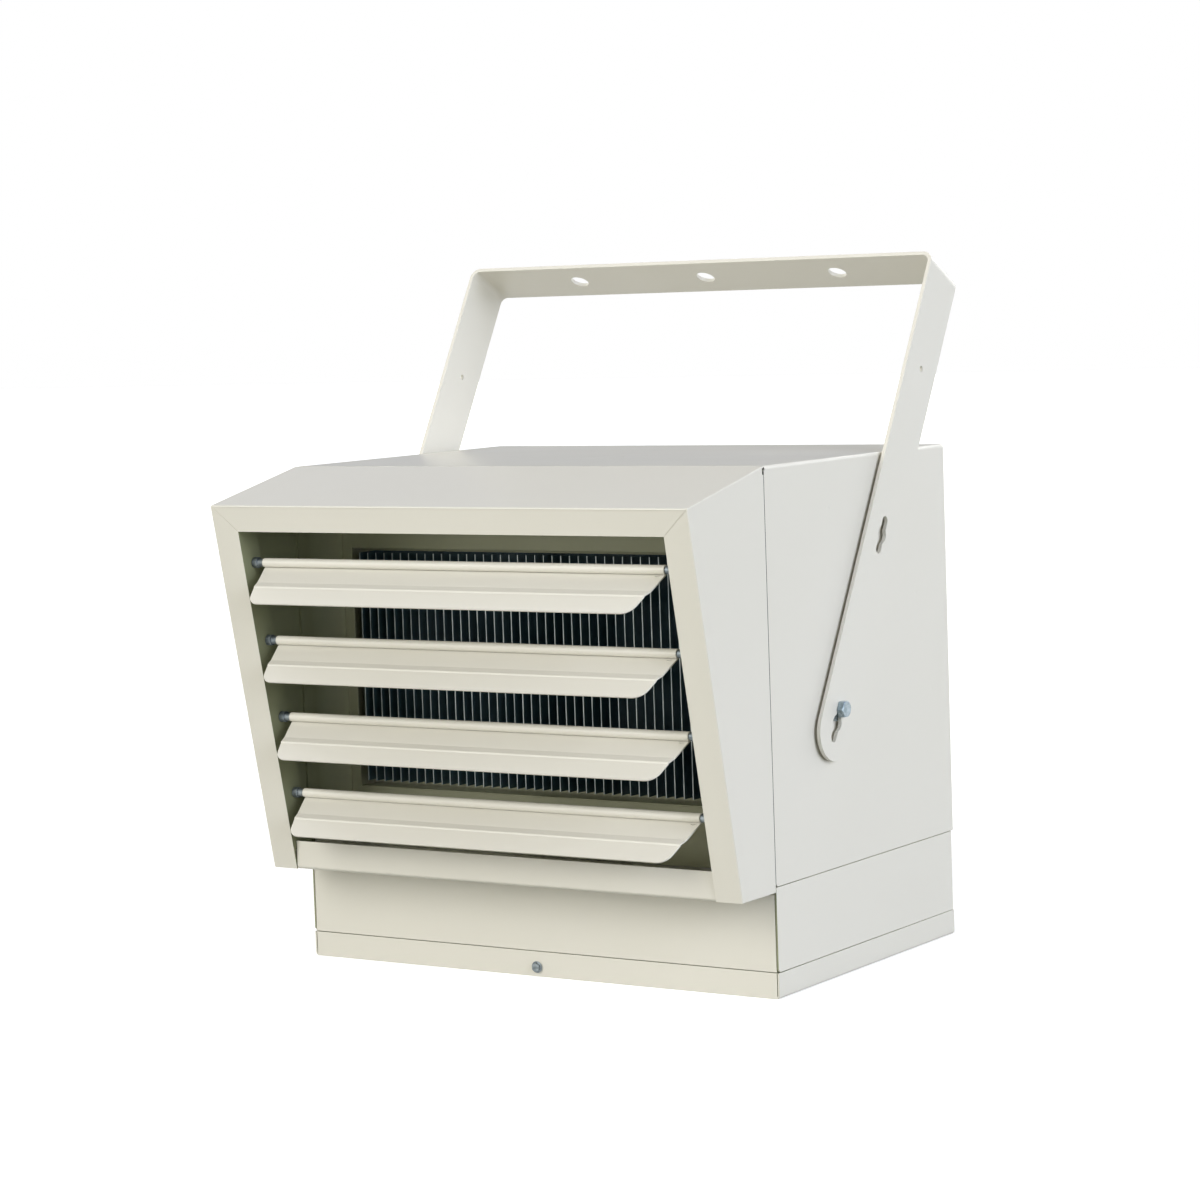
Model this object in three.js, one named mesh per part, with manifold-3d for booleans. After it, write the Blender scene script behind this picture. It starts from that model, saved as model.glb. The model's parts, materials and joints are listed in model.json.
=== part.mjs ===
// A ceiling mounted fan heater: a sheet steel cabinet with a sloped discharge hood, four
// louvres, a finned heating element, a motor and fan, a wiring compartment with a hinged
// access door, and a U-shaped hanging bracket.
//
// Millimetres, +Z up. The outlet faces -Y and +X is on the right of someone facing it.
// The origin is the centre of the flat base under the cabinet.

import * as THREE from 'three';
import { mergeVertices } from 'three/addons/utils/BufferGeometryUtils.js';
import Module from 'manifold-3d';

const wasm = await Module();
wasm.setup();

// ---------------------------------------------------------------- driving dimensions

const WIDTH = 368;
const DEPTH = 240;
const HEIGHT = 336;
const SHEET = 1.2;
const BEND = 1.2;
const SEAM = 0.4;
const CLEARANCE = 0.3;
const LAP = 13;

const DOOR_HEIGHT = 16.8;
const BASE_HEIGHT = 71.3;
const HOOD_BOTTOM = 67.9;
const RELIEF_RADIUS = 1.6;

const HOOD_TOP_REACH = 91.3;
const HOOD_TOP_DROP = 19.8;
const HOOD_BOTTOM_REACH = 41.1;
const STILE_WIDTH = 19.4;
const TOP_RAIL = 17.8;
const STILE_RETURN = 18;
const SILL_HEIGHT = 19;
const HOOD_LAP = 9;
const HOOD_WELD = 4;

const LOUVRE_PITCH = 53.5;
const LOUVRE_FIRST = 42;
const LOUVRE_LAST = 50;
const LOUVRE_INSET = 11;
const LOUVRE_SHEET = 1.0;
const LOUVRE_HEM = 3.1;
const LOUVRE_DROOP = 34.9;
const LOUVRE_PANEL = 17.6;
const LOUVRE_RIDGE = 5.3;
const LOUVRE_RIDGE_RISE = 1.3;
const LOUVRE_REACH = 38.5;
const LOUVRE_END_GAP = 8.8;
const LOUVRE_TAPER = 0.24;
const LOUVRE_CORNER = 7;
const PIVOT_PIN = 1.5;
const PIVOT_PIN_DEPTH = 7;
const PIVOT_SHANK = 2;
const PIVOT_COLLAR = 3.6;
const PIVOT_NECK = 2.7;

const BAFFLE_INSET = 46.6;
const ELEMENT_BORDER = 4.1;
const ELEMENT_SIDE = 11.88;
const FIN_PITCH = 6.96;
const FIN_SHEET = 0.8;
const FIN_DEPTH = 36;
const FIN_BOTTOM = 115;
const FIN_HEIGHT = 158.5;
const FIN_SETBACK = 2;
const RODS = 3;
const ROD_PITCH = 52;
const ROD_RADIUS = 3.2;
const ROD_BEND = 5.5;
const ROD_TAIL = 44;
const TERMINAL_RADIUS = 1.8;
const TERMINAL_LENGTH = 9;
const ROD_BRACKET_WIDTH = 15;
const ROD_BRACKET_INSET = 5;

const FAN_DROP = 2.85;
const ORIFICE_RADIUS = 112;
const ORIFICE_LIP = 6;
const BLADES = 5;
const BLADE_RADIUS = 104;
const BLADE_ROOT = 8;
const BLADE_SHEET = 1.6;
const BLADE_PITCH = 27;
const HUB_RADIUS = 21;
const HUB_LENGTH = 18;
const FAN_INSET = 22;
const SHAFT_RADIUS = 4;
const MOTOR_RADIUS = 43;
const MOTOR_LENGTH = 58;
const MOTOR_BELL = 7;
const MOTOR_WAIST = 2.5;
const MOTOR_FAN_GAP = 8;
const MOTOR_BOLT_SPREAD = 31;
const STAND_SHEET = 2;
const STAND_WIDTH = 92;
const STAND_FOOT = 62;

const GUARD_RINGS = 8;
const GUARD_PITCH = 13.3;
const GUARD_INNER = 18;
const GUARD_WIRE = 1.3;
const GUARD_LUG = 7;
const GUARD_LUG_RADIUS = 126;
const GUARD_LUG_ANGLE = 45;

const BRACKET_WIDTH = 40;
const BRACKET_THICKNESS = 2.7;
const BRACKET_REACH = 324.5;
const BRACKET_TAIL = 34.8;
const BRACKET_LEAN = 29.8;
const BRACKET_BEND = 5;
const BRACKET_HOLE = 6.5;
const BRACKET_HOLE_SPREAD = 106;
const BRACKET_SMALL_HOLE = 1.8;
const BRACKET_SMALL_HOLE_AT = 246;
const KEYHOLE_RADIUS = 5.5;
const KEYHOLE_SLOT = 3.3;
const KEYHOLE_LENGTH = 26.4;
const KEYHOLE_UPPER_AT = 123.6;
const PIVOT_SETBACK = 79.9;
const PIVOT_Z = 174.8;
const BOLT_RADIUS = 3;
const BOLT_HEAD = 5.77;
const BOLT_HEAD_HEIGHT = 4.4;
const WASHER_RADIUS = 8;
const WASHER_THICKNESS = 1.7;
const NUT_WIDTH = 16;
const NUT_THICKNESS = 5;

const KNUCKLE_RADIUS = 2.7;
const HINGE_PIN_RADIUS = 1.1;
const DOOR_KNUCKLE = 120;
const BASE_KNUCKLE = 40;
const DOOR_SCREW_RADIUS = 2;
const DOOR_SCREW_HEIGHT = 6.4;
const DOOR_SCREW_HEAD = 3.9;
const SCREW_HEAD_HEIGHT = 2.4;
const SCREW_RADIUS = 1.8;
const SCREW_HEAD = 3.8;

const TERMINAL_BLOCK_LEFT = -75;
const TERMINAL_BLOCK_INSET = 42;
const TERMINAL_BLOCK_DEPTH = 22;
const TERMINAL_BLOCK_HEIGHT = 20;
const TERMINAL_PITCH = 20;
const CONTACTOR_LEFT = 24;
const CONTACTOR_WIDTH = 52;
const CONTACTOR_FRONT = -22;
const CONTACTOR_DEPTH = 64;
const CONTACTOR_HEIGHT = 36;
const RELAY_LEFT = 105;
const RELAY_WIDTH = 35;
const RELAY_FRONT = -10;
const RELAY_DEPTH = 40;
const RELAY_HEIGHT = 26;
const CUTOUT_RADIUS = 8.5;
const CUTOUT_HEIGHT = 8;
const EARTH_X = 10;
const EARTH_INSET = 30;

const WIRE_RADIUS = 1.7;
const WIRE_BEND = 7;
const GROMMET_RADIUS = 8;
const GROMMET_SETBACK = 64;
const GROMMET_Y = 60;

// ---------------------------------------------------------------- sizes that follow

const HALF = WIDTH / 2;
const FRONT = -DEPTH / 2;
const REAR = DEPTH / 2;
const INNER = HALF - SHEET;
const INSIDE = INNER - SEAM;
const HOOD_TOP = HEIGHT - HOOD_TOP_DROP;
const OPENING_HALF = HALF - STILE_WIDTH;
const SILL_FRONT = FRONT - HOOD_BOTTOM_REACH;
const WRAPPER_BOTTOM = BASE_HEIGHT + SEAM;
const FAN_AXIS = (WRAPPER_BOTTOM + HEIGHT) / 2 - FAN_DROP;
const DIVIDER_BOTTOM = HOOD_BOTTOM + SHEET + CLEARANCE;
const DIVIDER_TOP = DIVIDER_BOTTOM + SHEET;
const BASE_REAR = REAR - 1;
const DOOR_TOP_GAP = DOOR_HEIGHT + SEAM;
const BAFFLE_FRONT = FRONT + BAFFLE_INSET;
const BAFFLE_REAR = BAFFLE_FRONT + SHEET;
const FIN_FRONT = BAFFLE_REAR + FIN_SETBACK;
const FIN_REAR = FIN_FRONT + FIN_DEPTH;
const FIN_TOP = FIN_BOTTOM + FIN_HEIGHT;
const FIN_GAPS = Math.floor(2 * (INSIDE - ELEMENT_SIDE) / FIN_PITCH + 1e-6);
const FIN_EDGE = FIN_GAPS * FIN_PITCH / 2;
const ROD_Y = (FIN_FRONT + FIN_REAR) / 2;
const ROD_Z = (FIN_BOTTOM + FIN_TOP) / 2;
const ROD_X = FIN_EDGE + FIN_SHEET + ROD_BEND;
const PANEL_FRONT = REAR + CLEARANCE;
const PANEL_REAR = PANEL_FRONT + SHEET;
const FAN_Y = REAR - FAN_INSET;
const MOTOR_REAR = FAN_Y - HUB_LENGTH / 2 - MOTOR_FAN_GAP;
const MOTOR_FRONT = MOTOR_REAR - MOTOR_LENGTH;
const STAND_REAR = MOTOR_FRONT - CLEARANCE;
const STAND_FRONT = STAND_REAR - STAND_SHEET;
const WASHER_FACE = HALF + CLEARANCE + WASHER_THICKNESS;
const ARM_INNER = WASHER_FACE + CLEARANCE;
const ARM_OUTER = ARM_INNER + BRACKET_THICKNESS;
const PIVOT_Y = FRONT + PIVOT_SETBACK;
const KNUCKLE_Y = BASE_REAR + KNUCKLE_RADIUS + CLEARANCE;
const KNUCKLE_Z = KNUCKLE_RADIUS + CLEARANCE;
const UNDER_SHELF = DIVIDER_BOTTOM - CLEARANCE;
const TERMINAL_BLOCK_RIGHT = TERMINAL_BLOCK_LEFT + 3 * TERMINAL_PITCH;
const TERMINAL_BLOCK_FRONT = REAR - TERMINAL_BLOCK_INSET;
const TERMINAL_Y = TERMINAL_BLOCK_FRONT + TERMINAL_BLOCK_DEPTH / 2;
const EARTH_Y = REAR - EARTH_INSET;
const CONTACTOR_REAR = CONTACTOR_FRONT + CONTACTOR_DEPTH;
const GROMMET_X = GROMMET_SETBACK - HALF;

// ---------------------------------------------------------------- shapes and solids

const radians = THREE.MathUtils.degToRad;
const vec = (x, y, z) => new THREE.Vector3(x, y, z);
const X_AXIS = vec(1, 0, 0);
const Y_AXIS = vec(0, 1, 0);
const Z_AXIS = vec(0, 0, 1);

// A closed outline through the given points.
function outline(points) {
  return new THREE.Shape(points.map(([a, b]) => new THREE.Vector2(a, b)));
}

function rectangle(a0, b0, a1, b1) {
  return outline([[a0, b0], [a1, b0], [a1, b1], [a0, b1]]);
}

function disc(a, b, radius, sides = 16) {
  const points = [];
  for (let i = 0; i < sides; i += 1) {
    const turn = (i + 0.5) / sides * 2 * Math.PI;
    points.push([a + radius * Math.cos(turn), b + radius * Math.sin(turn)]);
  }
  return outline(points);
}

// Points with each inner corner rounded to its own radius.
function filleted(points, radii, steps = 3) {
  const result = [];
  points.forEach(([a, b], i) => {
    const radius = radii[i];
    if (!radius) {
      result.push([a, b]);
      return;
    }
    const here = new THREE.Vector2(a, b);
    const before = new THREE.Vector2(...points.at(i - 1)).sub(here).normalize();
    const after = new THREE.Vector2(...points[(i + 1) % points.length]).sub(here).normalize();
    const half = Math.acos(before.dot(after)) / 2;
    const centre = before.clone().add(after).setLength(radius / Math.sin(half));
    const start = before.clone().multiplyScalar(radius / Math.tan(half)).sub(centre);
    const end = after.clone().multiplyScalar(radius / Math.tan(half)).sub(centre);
    const sweep = Math.atan2(start.cross(end), start.dot(end));
    for (let k = 0; k <= steps; k += 1) {
      const spoke = start.clone().rotateAround(new THREE.Vector2(), sweep * k / steps);
      result.push([a + centre.x + spoke.x, b + centre.y + spoke.y]);
    }
  });
  return result;
}

// The section of a bent sheet: its outer line, and the same line one thickness to the right.
function bentSheet(points, thickness = SHEET, bend = BEND) {
  const line = points.map(([a, b]) => new THREE.Vector2(a, b));
  const right = (from, to) => {
    const along = to.clone().sub(from).normalize();
    return new THREE.Vector2(along.y, -along.x);
  };
  const outer = [];
  const inner = [];
  const outerRadii = [];
  const innerRadii = [];
  line.forEach((point, i) => {
    const first = i === 0;
    const last = i === line.length - 1;
    const before = right(line[first ? 0 : i - 1], line[first ? 1 : i]);
    const after = right(line[last ? i - 1 : i], line[last ? i : i + 1]);
    const mitre = before.clone().add(after);
    mitre.multiplyScalar(2 * thickness / mitre.lengthSq());
    const turnsRight = before.cross(after) < 0;
    outer.push([point.x, point.y]);
    inner.push([point.x + mitre.x, point.y + mitre.y]);
    outerRadii.push(first || last ? 0 : bend + (turnsRight ? thickness : 0));
    innerRadii.push(first || last ? 0 : bend + (turnsRight ? 0 : thickness));
  });
  return outline(filleted([...outer, ...inner.reverse()], [...outerRadii, ...innerRadii.reverse()]));
}

// Pushes an outline through the space between two planes square to the named axis.
// An outline for 'x' is drawn in (y, z), for 'y' in (x, z) and for 'z' in (x, y).
function slab(shape, axis, from, to) {
  const geometry = new THREE.ExtrudeGeometry(shape, { depth: to - from, bevelEnabled: false });
  const frames = {
    x: [Y_AXIS, Z_AXIS, X_AXIS, vec(from, 0, 0)],
    y: [X_AXIS, Z_AXIS, vec(0, -1, 0), vec(0, to, 0)],
    z: [X_AXIS, Y_AXIS, Z_AXIS, vec(0, 0, from)],
  };
  const [a, b, c, place] = frames[axis];
  return geometry.applyMatrix4(new THREE.Matrix4().makeBasis(a, b, c).setPosition(place));
}

// A span measured outwards from the middle, on the left (-1) or on the right (1).
function outward(side, near, far) {
  return side < 0 ? [-far, -near] : [near, far];
}

function box(x0, x1, y0, y1, z0, z1) {
  const geometry = new THREE.BoxGeometry(x1 - x0, y1 - y0, z1 - z0);
  return geometry.translate((x0 + x1) / 2, (y0 + y1) / 2, (z0 + z1) / 2);
}

function round(axis, from, to, a, b, radius, sides = 16) {
  return slab(disc(a, b, radius, sides), axis, from, to);
}

// A geometry as a closed solid.
function solid(geometry) {
  const bare = geometry.clone();
  bare.deleteAttribute('normal');
  bare.deleteAttribute('uv');
  const merged = mergeVertices(bare, 1e-4);
  return new wasm.Manifold(new wasm.Mesh({
    numProp: 3,
    vertProperties: new Float32Array(merged.attributes.position.array),
    triVerts: new Uint32Array(merged.index.array),
  }));
}

function geometryOf(body) {
  const mesh = body.getMesh();
  const geometry = new THREE.BufferGeometry();
  geometry.setAttribute('position', new THREE.BufferAttribute(mesh.vertProperties, 3));
  geometry.setIndex(new THREE.BufferAttribute(mesh.triVerts, 1));
  geometry.computeVertexNormals();
  return geometry;
}

// Joins the first list of geometries and cuts the second list out of them.
function joined(parts, cuts = []) {
  let body = solid(parts[0]);
  for (const part of parts.slice(1)) {
    body = body.add(solid(part));
  }
  for (const cut of cuts) {
    body = body.subtract(solid(cut));
  }
  return geometryOf(body);
}

// A path that is followed point by point, for tubes with straight runs and short bends.
class Route extends THREE.Curve {
  constructor(points) {
    super();
    this.points = points;
  }

  getPoint(t) {
    return this.points[Math.round(t * (this.points.length - 1))].clone();
  }

  getPointAt(u) {
    return this.getPoint(u);
  }

  getTangentAt(u) {
    const i = Math.round(u * (this.points.length - 1));
    const before = this.points[Math.max(i - 1, 0)];
    const here = this.points[i];
    const after = this.points[Math.min(i + 1, this.points.length - 1)];
    const arriving = here.clone().sub(before).normalize();
    const leaving = after.clone().sub(here).normalize();
    return arriving.add(leaving).normalize();
  }
}

// The corners of a path in space, each rounded to the same radius.
function roundedPath(corners, radius, steps = 3) {
  const result = [corners[0]];
  for (let i = 1; i < corners.length - 1; i += 1) {
    const before = corners[i - 1].clone().sub(corners[i]).normalize();
    const after = corners[i + 1].clone().sub(corners[i]).normalize();
    const half = before.angleTo(after) / 2;
    const centre = before.clone().add(after).setLength(radius / Math.sin(half)).add(corners[i]);
    const reach = radius / Math.tan(half);
    const start = before.multiplyScalar(reach).add(corners[i]).sub(centre);
    const end = after.multiplyScalar(reach).add(corners[i]).sub(centre);
    const turn = start.clone().cross(end).normalize();
    const sweep = start.angleTo(end);
    for (let k = 0; k <= steps; k += 1) {
      result.push(start.clone().applyAxisAngle(turn, sweep * k / steps).add(centre));
    }
  }
  result.push(corners.at(-1));
  return result;
}

function tube(corners, radius, bend, sides = 8, steps = 3) {
  const points = roundedPath(corners, bend, steps);
  return new THREE.ExtrudeGeometry(disc(0, 0, radius, sides), {
    steps: points.length - 1,
    bevelEnabled: false,
    extrudePath: new Route(points),
  });
}

// A turned solid round the Y axis: radius and distance along the axis, from axis to axis.
function turned(profile, sides = 24) {
  const points = profile.map(([radius, along]) => new THREE.Vector2(radius, along));
  return new THREE.LatheGeometry(points, sides);
}

// ---------------------------------------------------------------- finishes

const FINISHES = {
  enamel: { color: 0xddd9cb, roughness: 0.35, metalness: 0.0 },
  zinc: { color: 0xa9b4bb, roughness: 0.35, metalness: 0.9 },
  steel: { color: 0x8d9092, roughness: 0.4, metalness: 0.9 },
  blackFin: { color: 0x14181a, roughness: 0.5, metalness: 0.4 },
  motor: { color: 0x2b2d2f, roughness: 0.5, metalness: 0.5 },
  aluminium: { color: 0xb9bcbd, roughness: 0.35, metalness: 0.9 },
  blackPlastic: { color: 0x1c1c1d, roughness: 0.5, metalness: 0.0 },
  greyPlastic: { color: 0x6f7274, roughness: 0.5, metalness: 0.0 },
  rubber: { color: 0x161616, roughness: 0.8, metalness: 0.0 },
  redWire: { color: 0x9c2b22, roughness: 0.5, metalness: 0.0 },
  blackWire: { color: 0x19191a, roughness: 0.5, metalness: 0.0 },
};

const heater = new THREE.Group();

function piece(name, finish, geometry, parent = heater) {
  const mesh = new THREE.Mesh(geometry, new THREE.MeshStandardMaterial(FINISHES[finish]));
  mesh.name = name;
  parent.add(mesh);
  return mesh;
}

// ---------------------------------------------------------------- cabinet and base

// The top and both sides are one bent sheet, with a flange all round the rear edge.
function cabinetWrapper() {
  const section = bentSheet([
    [-HALF, WRAPPER_BOTTOM], [-HALF, HEIGHT], [HALF, HEIGHT], [HALF, WRAPPER_BOTTOM],
  ]);
  const flangeEdge = INNER - LAP;
  const parts = [slab(section, 'y', FRONT, REAR)];
  for (const side of [-1, 1]) {
    const flange = outward(side, flangeEdge, HALF - SHEET / 2);
    parts.push(box(...flange, REAR - SHEET, REAR, WRAPPER_BOTTOM + LAP, HEIGHT - LAP));
  }
  parts.push(box(-flangeEdge, flangeEdge, REAR - SHEET, REAR, HEIGHT - SHEET - LAP, HEIGHT - SHEET / 2));
  const cuts = [
    round('x', -HALF - 1, HALF + 1, PIVOT_Y, PIVOT_Z, BOLT_RADIUS + CLEARANCE),
    round('x', -HALF - 1, HALF + 1, FRONT, WRAPPER_BOTTOM, RELIEF_RADIUS, 12),
    round('x', -HALF - 1, HALF + 1, FRONT, HEIGHT - RELIEF_RADIUS, RELIEF_RADIUS, 12),
  ];
  for (const [x, z] of caseScrewPlaces()) {
    cuts.push(round('y', REAR - SHEET - 1, REAR + 1, x, z, SCREW_RADIUS + CLEARANCE, 8));
  }
  return joined(parts, cuts);
}

function caseScrewPlaces() {
  const x = INNER - LAP / 2;
  return [[-x, WRAPPER_BOTTOM + 2 * LAP], [x, WRAPPER_BOTTOM + 2 * LAP],
    [-x, HEIGHT - 2 * LAP], [x, HEIGHT - 2 * LAP]];
}

// The rear panel carries the fan's inlet, a round hole with a lip rolled forward.
function rearPanel() {
  const plate = rectangle(-HALF + 2, WRAPPER_BOTTOM + 2, HALF - 2, HEIGHT - 2);
  const holeSides = 36;
  const parts = [
    slab(plate, 'y', PANEL_FRONT, PANEL_REAR),
    round('y', REAR - ORIFICE_LIP, PANEL_REAR, 0, FAN_AXIS, ORIFICE_RADIUS + SHEET, holeSides),
  ];
  const cuts = [
    round('y', REAR - ORIFICE_LIP - 1, PANEL_REAR + 1, 0, FAN_AXIS, ORIFICE_RADIUS, holeSides),
  ];
  for (const [x, z] of [...caseScrewPlaces(), ...guardLugPlaces()]) {
    cuts.push(round('y', PANEL_FRONT - 1, PANEL_REAR + 1, x, z, SCREW_RADIUS + CLEARANCE, 8));
  }
  return joined(parts, cuts);
}

// The sides and rear of the wiring compartment, with the fixed knuckles of the door hinge.
function baseHousing() {
  const section = bentSheet([
    [-HALF, FRONT], [-HALF, BASE_REAR], [HALF, BASE_REAR], [HALF, FRONT],
  ]);
  const parts = [slab(section, 'z', DOOR_TOP_GAP, BASE_HEIGHT)];
  const cuts = [
    round('x', -HALF - 1, HALF + 1, FRONT, DOOR_TOP_GAP, RELIEF_RADIUS, 12),
    round('x', -HALF, HALF, KNUCKLE_Y, KNUCKLE_Z, HINGE_PIN_RADIUS + CLEARANCE, 12),
  ];
  for (const side of [-1, 1]) {
    const middle = side * (DOOR_KNUCKLE / 2 + CLEARANCE + BASE_KNUCKLE / 2);
    const x0 = middle - BASE_KNUCKLE / 2;
    const x1 = middle + BASE_KNUCKLE / 2;
    parts.push(box(x0, x1, BASE_REAR, BASE_REAR + SHEET, KNUCKLE_Z, DOOR_TOP_GAP + LAP));
    parts.push(round('x', x0, x1, KNUCKLE_Y, KNUCKLE_Z, KNUCKLE_RADIUS));
  }
  return joined(parts, cuts);
}

// A pan with a tab below it, notched from underneath for the door screw.
function baseFrontPanel() {
  const top = HOOD_BOTTOM - CLEARANCE;
  const back = FRONT + LAP;
  const section = bentSheet([[FRONT, DOOR_TOP_GAP], [FRONT, top], [back, top]]);
  const tabFace = FRONT + SHEET;
  const tabBack = tabFace + CLEARANCE + SHEET;
  const tab = outline([
    [tabFace, DOOR_TOP_GAP + 2], [tabFace + CLEARANCE, DOOR_TOP_GAP + 2],
    [tabFace + CLEARANCE, SHEET * 2], [tabBack, SHEET * 2],
    [tabBack, DOOR_TOP_GAP + LAP], [tabFace, DOOR_TOP_GAP + LAP],
  ]);
  const parts = [slab(section, 'x', -INSIDE, INSIDE), slab(tab, 'x', -LAP, LAP)];
  for (const side of [-1, 1]) {
    const flange = outward(side, INSIDE - SHEET, INSIDE);
    parts.push(box(...flange, FRONT + SHEET / 2, back, DOOR_TOP_GAP, top - SHEET / 2));
  }
  const notch = DOOR_SCREW_RADIUS + CLEARANCE;
  return joined(parts, [
    box(-notch, notch, tabFace, tabBack + 1, 0, DOOR_SCREW_HEIGHT),
    round('y', tabFace, tabBack + 1, 0, DOOR_SCREW_HEIGHT, notch, 12),
  ]);
}

// The shelf between the air chamber and the wiring compartment.
function dividerPlate() {
  const front = FRONT + SHEET + SEAM;
  const back = BASE_REAR - SHEET - SEAM;
  const section = bentSheet([
    [-INSIDE, DIVIDER_TOP + LAP], [-INSIDE, DIVIDER_BOTTOM],
    [INSIDE, DIVIDER_BOTTOM], [INSIDE, DIVIDER_TOP + LAP],
  ].reverse());
  const inner = INSIDE - SHEET - BEND;
  const parts = [
    slab(section, 'y', front, back),
    box(-inner, inner, back - SHEET, back, DIVIDER_BOTTOM - LAP, DIVIDER_BOTTOM + SHEET / 2),
  ];
  return joined(parts, [
    round('z', DIVIDER_BOTTOM - 1, DIVIDER_TOP + 1, GROMMET_X, GROMMET_Y, GROMMET_RADIUS),
  ]);
}

// The bottom of the heater: a tray that swings down on the hinge along its rear edge.
function accessDoor() {
  const back = BASE_REAR - SEAM;
  const corner = HALF - SHEET - SEAM;
  const section = bentSheet([
    [HALF, DOOR_HEIGHT], [HALF, 0], [-HALF, 0], [-HALF, DOOR_HEIGHT],
  ]);
  const parts = [
    slab(section, 'y', FRONT, back),
    box(-corner, corner, FRONT, FRONT + SHEET, SHEET / 2, DOOR_HEIGHT),
    box(-DOOR_KNUCKLE / 2, DOOR_KNUCKLE / 2, back - 1, KNUCKLE_Y, 0, SHEET),
    round('x', -DOOR_KNUCKLE / 2, DOOR_KNUCKLE / 2, KNUCKLE_Y, KNUCKLE_Z, KNUCKLE_RADIUS),
  ];
  return joined(parts, [
    round('x', -HALF, HALF, KNUCKLE_Y, KNUCKLE_Z, HINGE_PIN_RADIUS + CLEARANCE, 12),
    round('y', FRONT - 1, FRONT + SHEET + 1, 0, DOOR_SCREW_HEIGHT, DOOR_SCREW_RADIUS + CLEARANCE, 12),
  ]);
}

function doorHingePin() {
  const reach = DOOR_KNUCKLE / 2 + CLEARANCE + BASE_KNUCKLE;
  const end = reach + CLEARANCE;
  const heads = [-1, 1].map((side) => round('x', ...outward(side, end, end + SHEET), KNUCKLE_Y, KNUCKLE_Z,
    KNUCKLE_RADIUS - 0.6, 12));
  return joined([round('x', -end, end, KNUCKLE_Y, KNUCKLE_Z, HINGE_PIN_RADIUS, 12), ...heads]);
}

// A screw along Y whose head faces forwards (-1) or rearwards (+1), seated near a face.
function screwAlongY(x, z, face, facing, reach, radius, head, headHeight, sides = 12) {
  const seat = face + facing * CLEARANCE;
  const top = seat + facing * headHeight;
  const tip = face - facing * reach;
  const between = (a, b) => [Math.min(a, b), Math.max(a, b)];
  return joined([
    round('y', ...between(seat, top), x, z, head, sides),
    round('y', ...between(seat, tip), x, z, radius, 8),
  ]);
}

function doorScrewNut() {
  const front = FRONT + 2 * SHEET + 2 * CLEARANCE;
  const half = 5;
  return joined(
    [box(-half, half, front, front + 2.4, DOOR_SCREW_HEIGHT - 4, DOOR_SCREW_HEIGHT + half)],
    [round('y', front - 1, front + 4, 0, DOOR_SCREW_HEIGHT, DOOR_SCREW_RADIUS + CLEARANCE, 12)],
  );
}

piece('cabinet_wrapper', 'enamel', cabinetWrapper());
piece('rear_panel', 'enamel', rearPanel());
piece('base_housing', 'enamel', baseHousing());
piece('base_front_panel', 'enamel', baseFrontPanel());
piece('divider_plate', 'enamel', dividerPlate());
piece('access_door', 'enamel', accessDoor());
piece('door_hinge_pin', 'zinc', doorHingePin());
piece('door_screw', 'zinc', screwAlongY(0, DOOR_SCREW_HEIGHT, FRONT, -1, 10,
  DOOR_SCREW_RADIUS, DOOR_SCREW_HEAD, SCREW_HEAD_HEIGHT, 12));
piece('door_screw_nut', 'zinc', doorScrewNut());
caseScrewPlaces().forEach(([x, z], i) => {
  piece(`case_screw_${i + 1}`, 'zinc', screwAlongY(x, z, PANEL_REAR, 1, 9,
    SCREW_RADIUS, SCREW_HEAD, SCREW_HEAD_HEIGHT));
});

// ---------------------------------------------------------------- discharge hood

// The slanted face of the hood: a runs down the face from its top edge and n runs inwards.
const FACE_TOP = vec(0, FRONT - HOOD_TOP_REACH, HOOD_TOP);
const FACE_BOTTOM = vec(0, SILL_FRONT, HOOD_BOTTOM);
const FACE_DOWN = FACE_BOTTOM.clone().sub(FACE_TOP).normalize();
const FACE_IN = X_AXIS.clone().cross(FACE_DOWN);
const FACE_LENGTH = FACE_TOP.distanceTo(FACE_BOTTOM);
const LOUVRES = 1 + Math.floor((FACE_LENGTH - LOUVRE_FIRST - LOUVRE_LAST) / LOUVRE_PITCH);
const FACE_FRAME = new THREE.Matrix4().makeBasis(X_AXIS, FACE_DOWN, FACE_IN).setPosition(FACE_TOP);

function onFace(down, inwards) {
  return FACE_TOP.clone().addScaledVector(FACE_DOWN, down).addScaledVector(FACE_IN, inwards);
}

// A slab of the face, from one depth behind it to another.
function faceSlab(shape, from, to) {
  const geometry = new THREE.ExtrudeGeometry(shape, { depth: to - from, bevelEnabled: false });
  return geometry.translate(0, 0, from).applyMatrix4(FACE_FRAME);
}

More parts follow.
